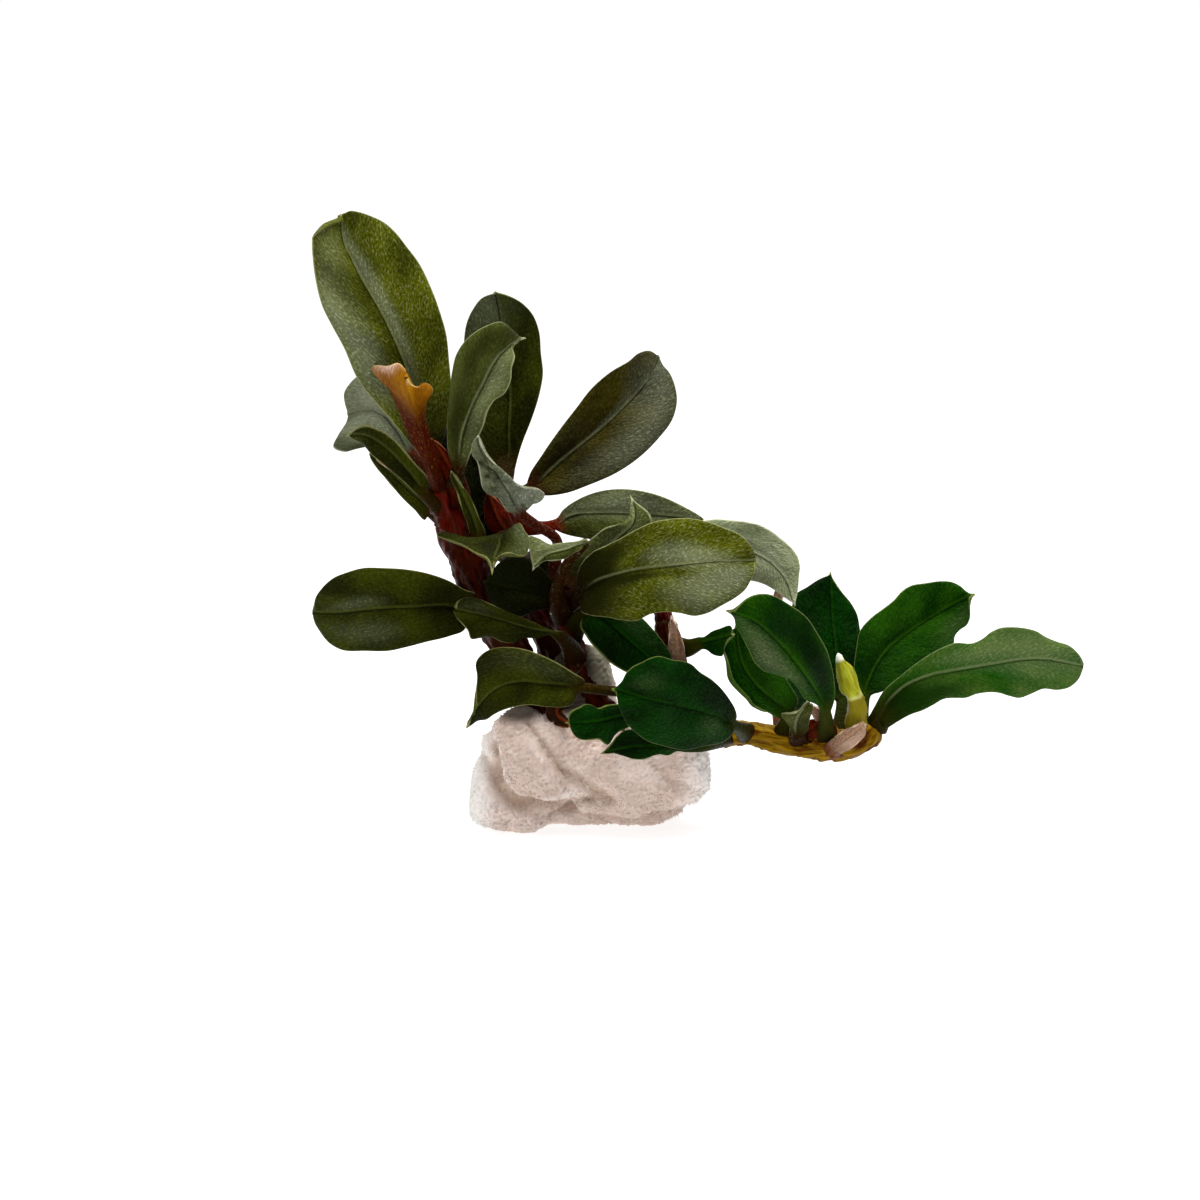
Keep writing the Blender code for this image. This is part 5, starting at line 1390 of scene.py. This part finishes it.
def rhizome_material():
    """Olive brown with yellow streaks, dark red spots and pale torn rims."""
    colours = (142, 108, 18), (84, 54, 4), (66, 18, 3), (178, 162, 84)
    paint, colour, _, _ = streaked("rhizome_olive", colours, 0.5)
    paint.colour(colour)
    return paint.material


def bud_material():
    """A green shoot with a white tip, which rises out of an olive sheath."""
    colours = (170, 172, 52), (124, 122, 20), (140, 144, 30), (176, 178, 90)
    paint, colour, height, streaks = streaked("bud_green", colours, 0.42)
    sheath = paint.blend(streaks, on_screen((96, 84, 10)), on_screen((140, 128, 34)))
    colour = paint.blend(paint.step(height, 0.50, 0.46), colour, sheath)
    colour = paint.blend(paint.band(height, 0.50, 0.04, 0.5), colour, on_screen((196, 194, 130)))
    colour = paint.blend(paint.step(height, 0.90, 0.95), colour, on_screen((236, 236, 222)))
    paint.colour(colour)
    return paint.material


def foam_material():
    """White open foam with painted light and shade: pinkish beige in its folds, whiter at both
    ends, darker on top.
    """
    paint = Paint("foam_white", 0.95, DULL_SPECULAR)
    knob, deep, crest = paint.parts(paint.painted("nap"))
    places = paint.node("ShaderNodeTexCoord", {}).outputs["Object"]
    across, back, up = paint.parts(places)
    pores = paint.noise(places, (4200.0, 4200.0, 4200.0), 3.0, 0.65)
    stains = paint.noise(places, (220.0, 220.0, 220.0), 2.0, 0.5)
    # Pinkish beige with random patches of tone, partly its own warm colour and partly a painted
    # pink reflection.
    colour = paint.blend(paint.step(stains, 0.40, 0.62), on_screen((225, 206, 196)),
                         on_screen((208, 186, 174)))
    # A painted highlight on the tops of the nap's knobs, and painted shade in its pores.
    colour = paint.blend(paint.step(knob, 0.0, 1.6, 0.0, 0.3), colour,
                         on_screen((242, 236, 231)))
    colour = paint.blend(paint.step(pores, 0.50, 0.30, 0.0, 0.12), colour,
                         on_screen((176, 150, 134)))

    # Painted light that whitens both ends and the ridges, and painted shade in the creases.
    lit_ends_and_crests = paint.maths("MAXIMUM", paint.change(across, LIT_LEFT),
                        paint.change(across, LIT_RIGHT))
    lit_ends_and_crests = paint.maths("MAXIMUM", lit_ends_and_crests, crest)
    colour = paint.blend(paint.times(lit_ends_and_crests, 0.75), colour, on_screen((244, 241, 237)))
    colour = paint.blend(paint.step(deep, 0.1, 0.9, 0.0, 0.6), colour,
                         on_screen((164, 138, 116)))

    # Painted shade on top, most of all at the front, and deepest to the left, between the stems.
    top_shade = paint.times(paint.change(up, TOP_SHADE_UP),
                          paint.change(back, TOP_SHADE_FORWARD, 0.3, 0.85))
    colour = paint.blend(top_shade, colour, on_screen((96, 98, 78)))
    between = paint.times(paint.change(across, DEEP_SHADE_ACROSS), paint.change(back, DEEP_SHADE_FORWARD))
    between = paint.times(between, paint.change(up, DEEP_SHADE_UP, 0.0, 0.9))
    colour = paint.blend(between, colour, on_screen((30, 22, 8)))
    paint.colour(colour)
    paint.shader.inputs["Subsurface Weight"].default_value = 0.55
    paint.shader.inputs["Subsurface Radius"].default_value = (0.0022, 0.0017, 0.0014)
    paint.bump(pores, 0.1, 0.7)
    return paint.material


def make_foam():
    """Foam folded round the rhizome, with creases, a fine nap and fibres."""
    mesh = foam_draft()
    points = np.empty(len(mesh.vertices) * 3)
    normals = np.empty(len(mesh.vertices) * 3)
    mesh.vertices.foreach_get("co", points)
    mesh.vertices.foreach_get("normal", normals)
    points, normals = points.reshape(-1, 3) / MM, normals.reshape(-1, 3)
    up = points @ (0.0, math.sin(VIEW_ELEVATION), math.cos(VIEW_ELEVATION))
    sheet = np.stack([points[:, 0], up, 0.0 * up], axis=-1)
    deep = np.zeros(len(points))
    for crease, side, depth, reach in FOAM_CREASES:
        facing = eased(-side * normals[:, 1], -0.2, 0.5)
        line = Curve([(*point, 0.0) for point in crease]).at(np.linspace(0.0, 1.0, CURVE_STEPS))
        deep += facing * depth * hump(nearest(line, sheet), 0.0, reach)
    knob = sum(height * mottle(points, size, seed, NAP_WAVES)
               for height, size, seed in NAP_KNOBS)
    swelling = sum(height * mottle(points, size, seed)
                   for height, size, seed in FOAM_SWELLINGS)
    lift = swelling - deep + NAP_HEIGHT * knob
    points = held_in(points + normals * lift[:, None])
    mesh.vertices.foreach_set("co", (points * MM).ravel())
    # The nap, the creases and the ridges, which its painted highlights and painted shade follow.
    paint_points(mesh, "nap", np.stack([knob, deep, -deep / LIT_CREST], axis=-1))
    add_fibres(mesh, points, normals)
    foam = add_piece("foam_wrap", mesh, foam_material(), "foam_wrap")


def foam_draft():
    """The pads of the foam, rounded and fused into one smooth mesh."""
    mesh = bpy.data.meshes.new("foam")
    shape = bmesh.new()
    for middle, halves, tilt in FOAM_PADS:
        sizes = [2.0 * FOAM_FULLNESS * half * MM for half in halves]
        place = (Matrix.Translation([value * MM for value in middle])
                 @ Matrix.Rotation(math.radians(tilt), 4, "Y")
                 @ Matrix.Diagonal((*sizes, 1.0)))
        bmesh.ops.create_cube(shape, size=1.0, matrix=place)
    bmesh.ops.subdivide_edges(shape, edges=shape.edges, cuts=1, use_grid_fill=True)
    shape.to_mesh(mesh)
    shape.free()
    draft = bpy.data.objects.new("foam_draft", mesh)
    bpy.context.scene.collection.objects.link(draft)
    rounding = draft.modifiers.new("rounding", "SUBSURF")
    rounding.levels = FOAM_ROUNDING
    rounding.render_levels = FOAM_ROUNDING
    fusing = draft.modifiers.new("fusing", "REMESH")
    fusing.mode = "VOXEL"
    fusing.voxel_size = FOAM_VOXEL * MM
    softening = draft.modifiers.new("softening", "SMOOTH")
    softening.iterations = FOAM_SOFTENING
    ready = draft.evaluated_get(bpy.context.evaluated_depsgraph_get())
    mesh = bpy.data.meshes.new_from_object(ready)
    bpy.data.objects.remove(draft)
    return mesh


def held_in(points):
    """The foam's points kept softly inside its space, and cut off flat underneath."""
    low, high = (np.array(corner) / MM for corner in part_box("foam_wrap"))
    high += [0.0, 0.0, FOAM_PROUD]
    inside = low + FOAM_EDGE * np.logaddexp(0.0, (points - low) / FOAM_EDGE)
    inside[:, 2] = np.maximum(points[:, 2], low[2])
    return high - FOAM_EDGE * np.logaddexp(0.0, (high - inside) / FOAM_EDGE)


def add_fibres(mesh, points, normals):
    """Short pointed fibres that stand out of the foam, each a closed sliver."""
    random = np.random.default_rng(FIBRE_SEED)
    picked = random.permutation(len(points))[:FIBRE_COUNT]
    height = points[picked, 2]
    picked = picked[(height > FIBRE_LENGTH) & (height < FIBRES_BELOW)]
    away = unit(normals[picked] + random.normal(0.0, FIBRE_SPREAD, (len(picked), 3)))
    side = unit(np.cross(away, random.normal(size=away.shape)))
    other = np.cross(away, side)
    length = FIBRE_LENGTH * random.uniform(0.5, 1.0, (len(picked), 1))
    shape = bmesh.new()
    shape.from_mesh(mesh)
    for foot, ahead, first, second in zip(points[picked], away * length, side, other):
        base = foot - FIBRE_SUNK * ahead
        corners = [base + FIBRE_RADIUS * (first * math.cos(turn) + second * math.sin(turn))
                   for turn in FIBRE_CORNERS]
        ring = [shape.verts.new(corner * MM) for corner in corners]
        tip = shape.verts.new((foot + ahead) * MM)
        shape.faces.new(ring[::-1])
        for number, corner in enumerate(ring):
            shape.faces.new((corner, ring[(number + 1) % len(ring)], tip))
    shape.to_mesh(mesh)
    shape.free()


def nearest(places, points):
    """How far each point is from the nearest of the places."""
    tree = KDTree(len(places))
    for number, place in enumerate(places):
        tree.insert(place, number)
    tree.balance()
    return np.array([tree.find(point)[2] for point in points])


def make_floor():
    mesh = bpy.data.meshes.new("floor")
    shape = bmesh.new()
    bmesh.ops.create_grid(shape, x_segments=1, y_segments=1, size=FLOOR_SIZE)
    shape.to_mesh(mesh)
    shape.free()
    paint = Paint("floor_white", 0.9, DULL_SPECULAR)
    places = paint.node("ShaderNodeTexCoord", {}).outputs["Object"]
    tint = paint.noise(places, (3.0, 3.0, 3.0), 2.0, 0.5)
    paint.colour(paint.blend(tint, on_screen((156, 156, 156)), on_screen((162, 162, 162))))
    paint.shader.inputs["Emission Color"].default_value = WHITE
    paint.shader.inputs["Emission Strength"].default_value = FLOOR_GLOW
    mesh.materials.append(paint.material)
    thing = bpy.data.objects.new("floor", mesh)
    bpy.context.scene.collection.objects.link(thing)


def make_camera():
    data = bpy.data.cameras.new("camera")
    data.angle = 2.0 * math.atan(0.5 * VIEW_WIDTH / VIEW_DISTANCE)
    data.clip_start = 0.01
    camera = bpy.data.objects.new("camera", data)
    camera.location = viewer() * MM
    camera.rotation_euler = (0.5 * math.pi - VIEW_ELEVATION, 0.0, 0.0)
    bpy.context.scene.collection.objects.link(camera)
    bpy.context.scene.camera = camera


def make_light(name, place, size, power):
    data = bpy.data.lights.new(name, "AREA")
    data.shape = "DISK"
    data.size = size
    data.energy = power
    light = bpy.data.objects.new(name, data)
    light.location = place
    direction = Vector(LIGHT_TARGET) - Vector(place)
    light.rotation_euler = direction.to_track_quat("-Z", "Y").to_euler()
    bpy.context.scene.collection.objects.link(light)


def make_world():
    """White light that is strongest from behind the plant."""
    world = bpy.data.worlds.new("world")
    world.use_nodes = True
    tree = world.node_tree
    place = tree.nodes.new("ShaderNodeTexCoord")
    parts = tree.nodes.new("ShaderNodeSeparateXYZ")
    rising = tree.nodes.new("ShaderNodeMapRange")
    rising.interpolation_type = "SMOOTHSTEP"
    inputs = {"From Min": -0.7, "From Max": 0.8, "To Min": WORLD_FRONT, "To Max": WORLD_BACK}
    for key, value in inputs.items():
        rising.inputs[key].default_value = value
    tree.nodes["Background"].inputs["Color"].default_value = WHITE
    tree.links.new(place.outputs["Generated"], parts.inputs["Vector"])
    tree.links.new(parts.outputs["Y"], rising.inputs["Value"])
    tree.links.new(rising.outputs["Result"], tree.nodes["Background"].inputs["Strength"])
    bpy.context.scene.world = world


def main():
    for seed, (name, leaf) in enumerate(LEAVES.items()):
        make_leaf(name, leaf, DRESSES.get(name, PLAIN), seed, name)
    for seed, (name, leaf) in enumerate(SMALL_LEAVES.items()):
        make_leaf(name, leaf, DRESSES.get(name, PLAIN), SMALL_LEAF_SEED + seed)
    materials = {"stem_red": stem_material(), "rhizome_olive": rhizome_material(),
                 "bud_green": bud_material()}
    for seed, (name, tube) in enumerate(TUBES.items()):
        make_stem(name, tube, materials[tube.finish], STEM_SEED + seed)
    make_foam()
    make_floor()
    make_camera()
    make_world()
    for name, light in LIGHTS.items():
        make_light(name, *light)
    scene = bpy.context.scene
    scene.view_settings.view_transform = "Standard"
    scene.view_settings.look = "None"


main()


def corners(box):
    return [list(corner) for corner in box]
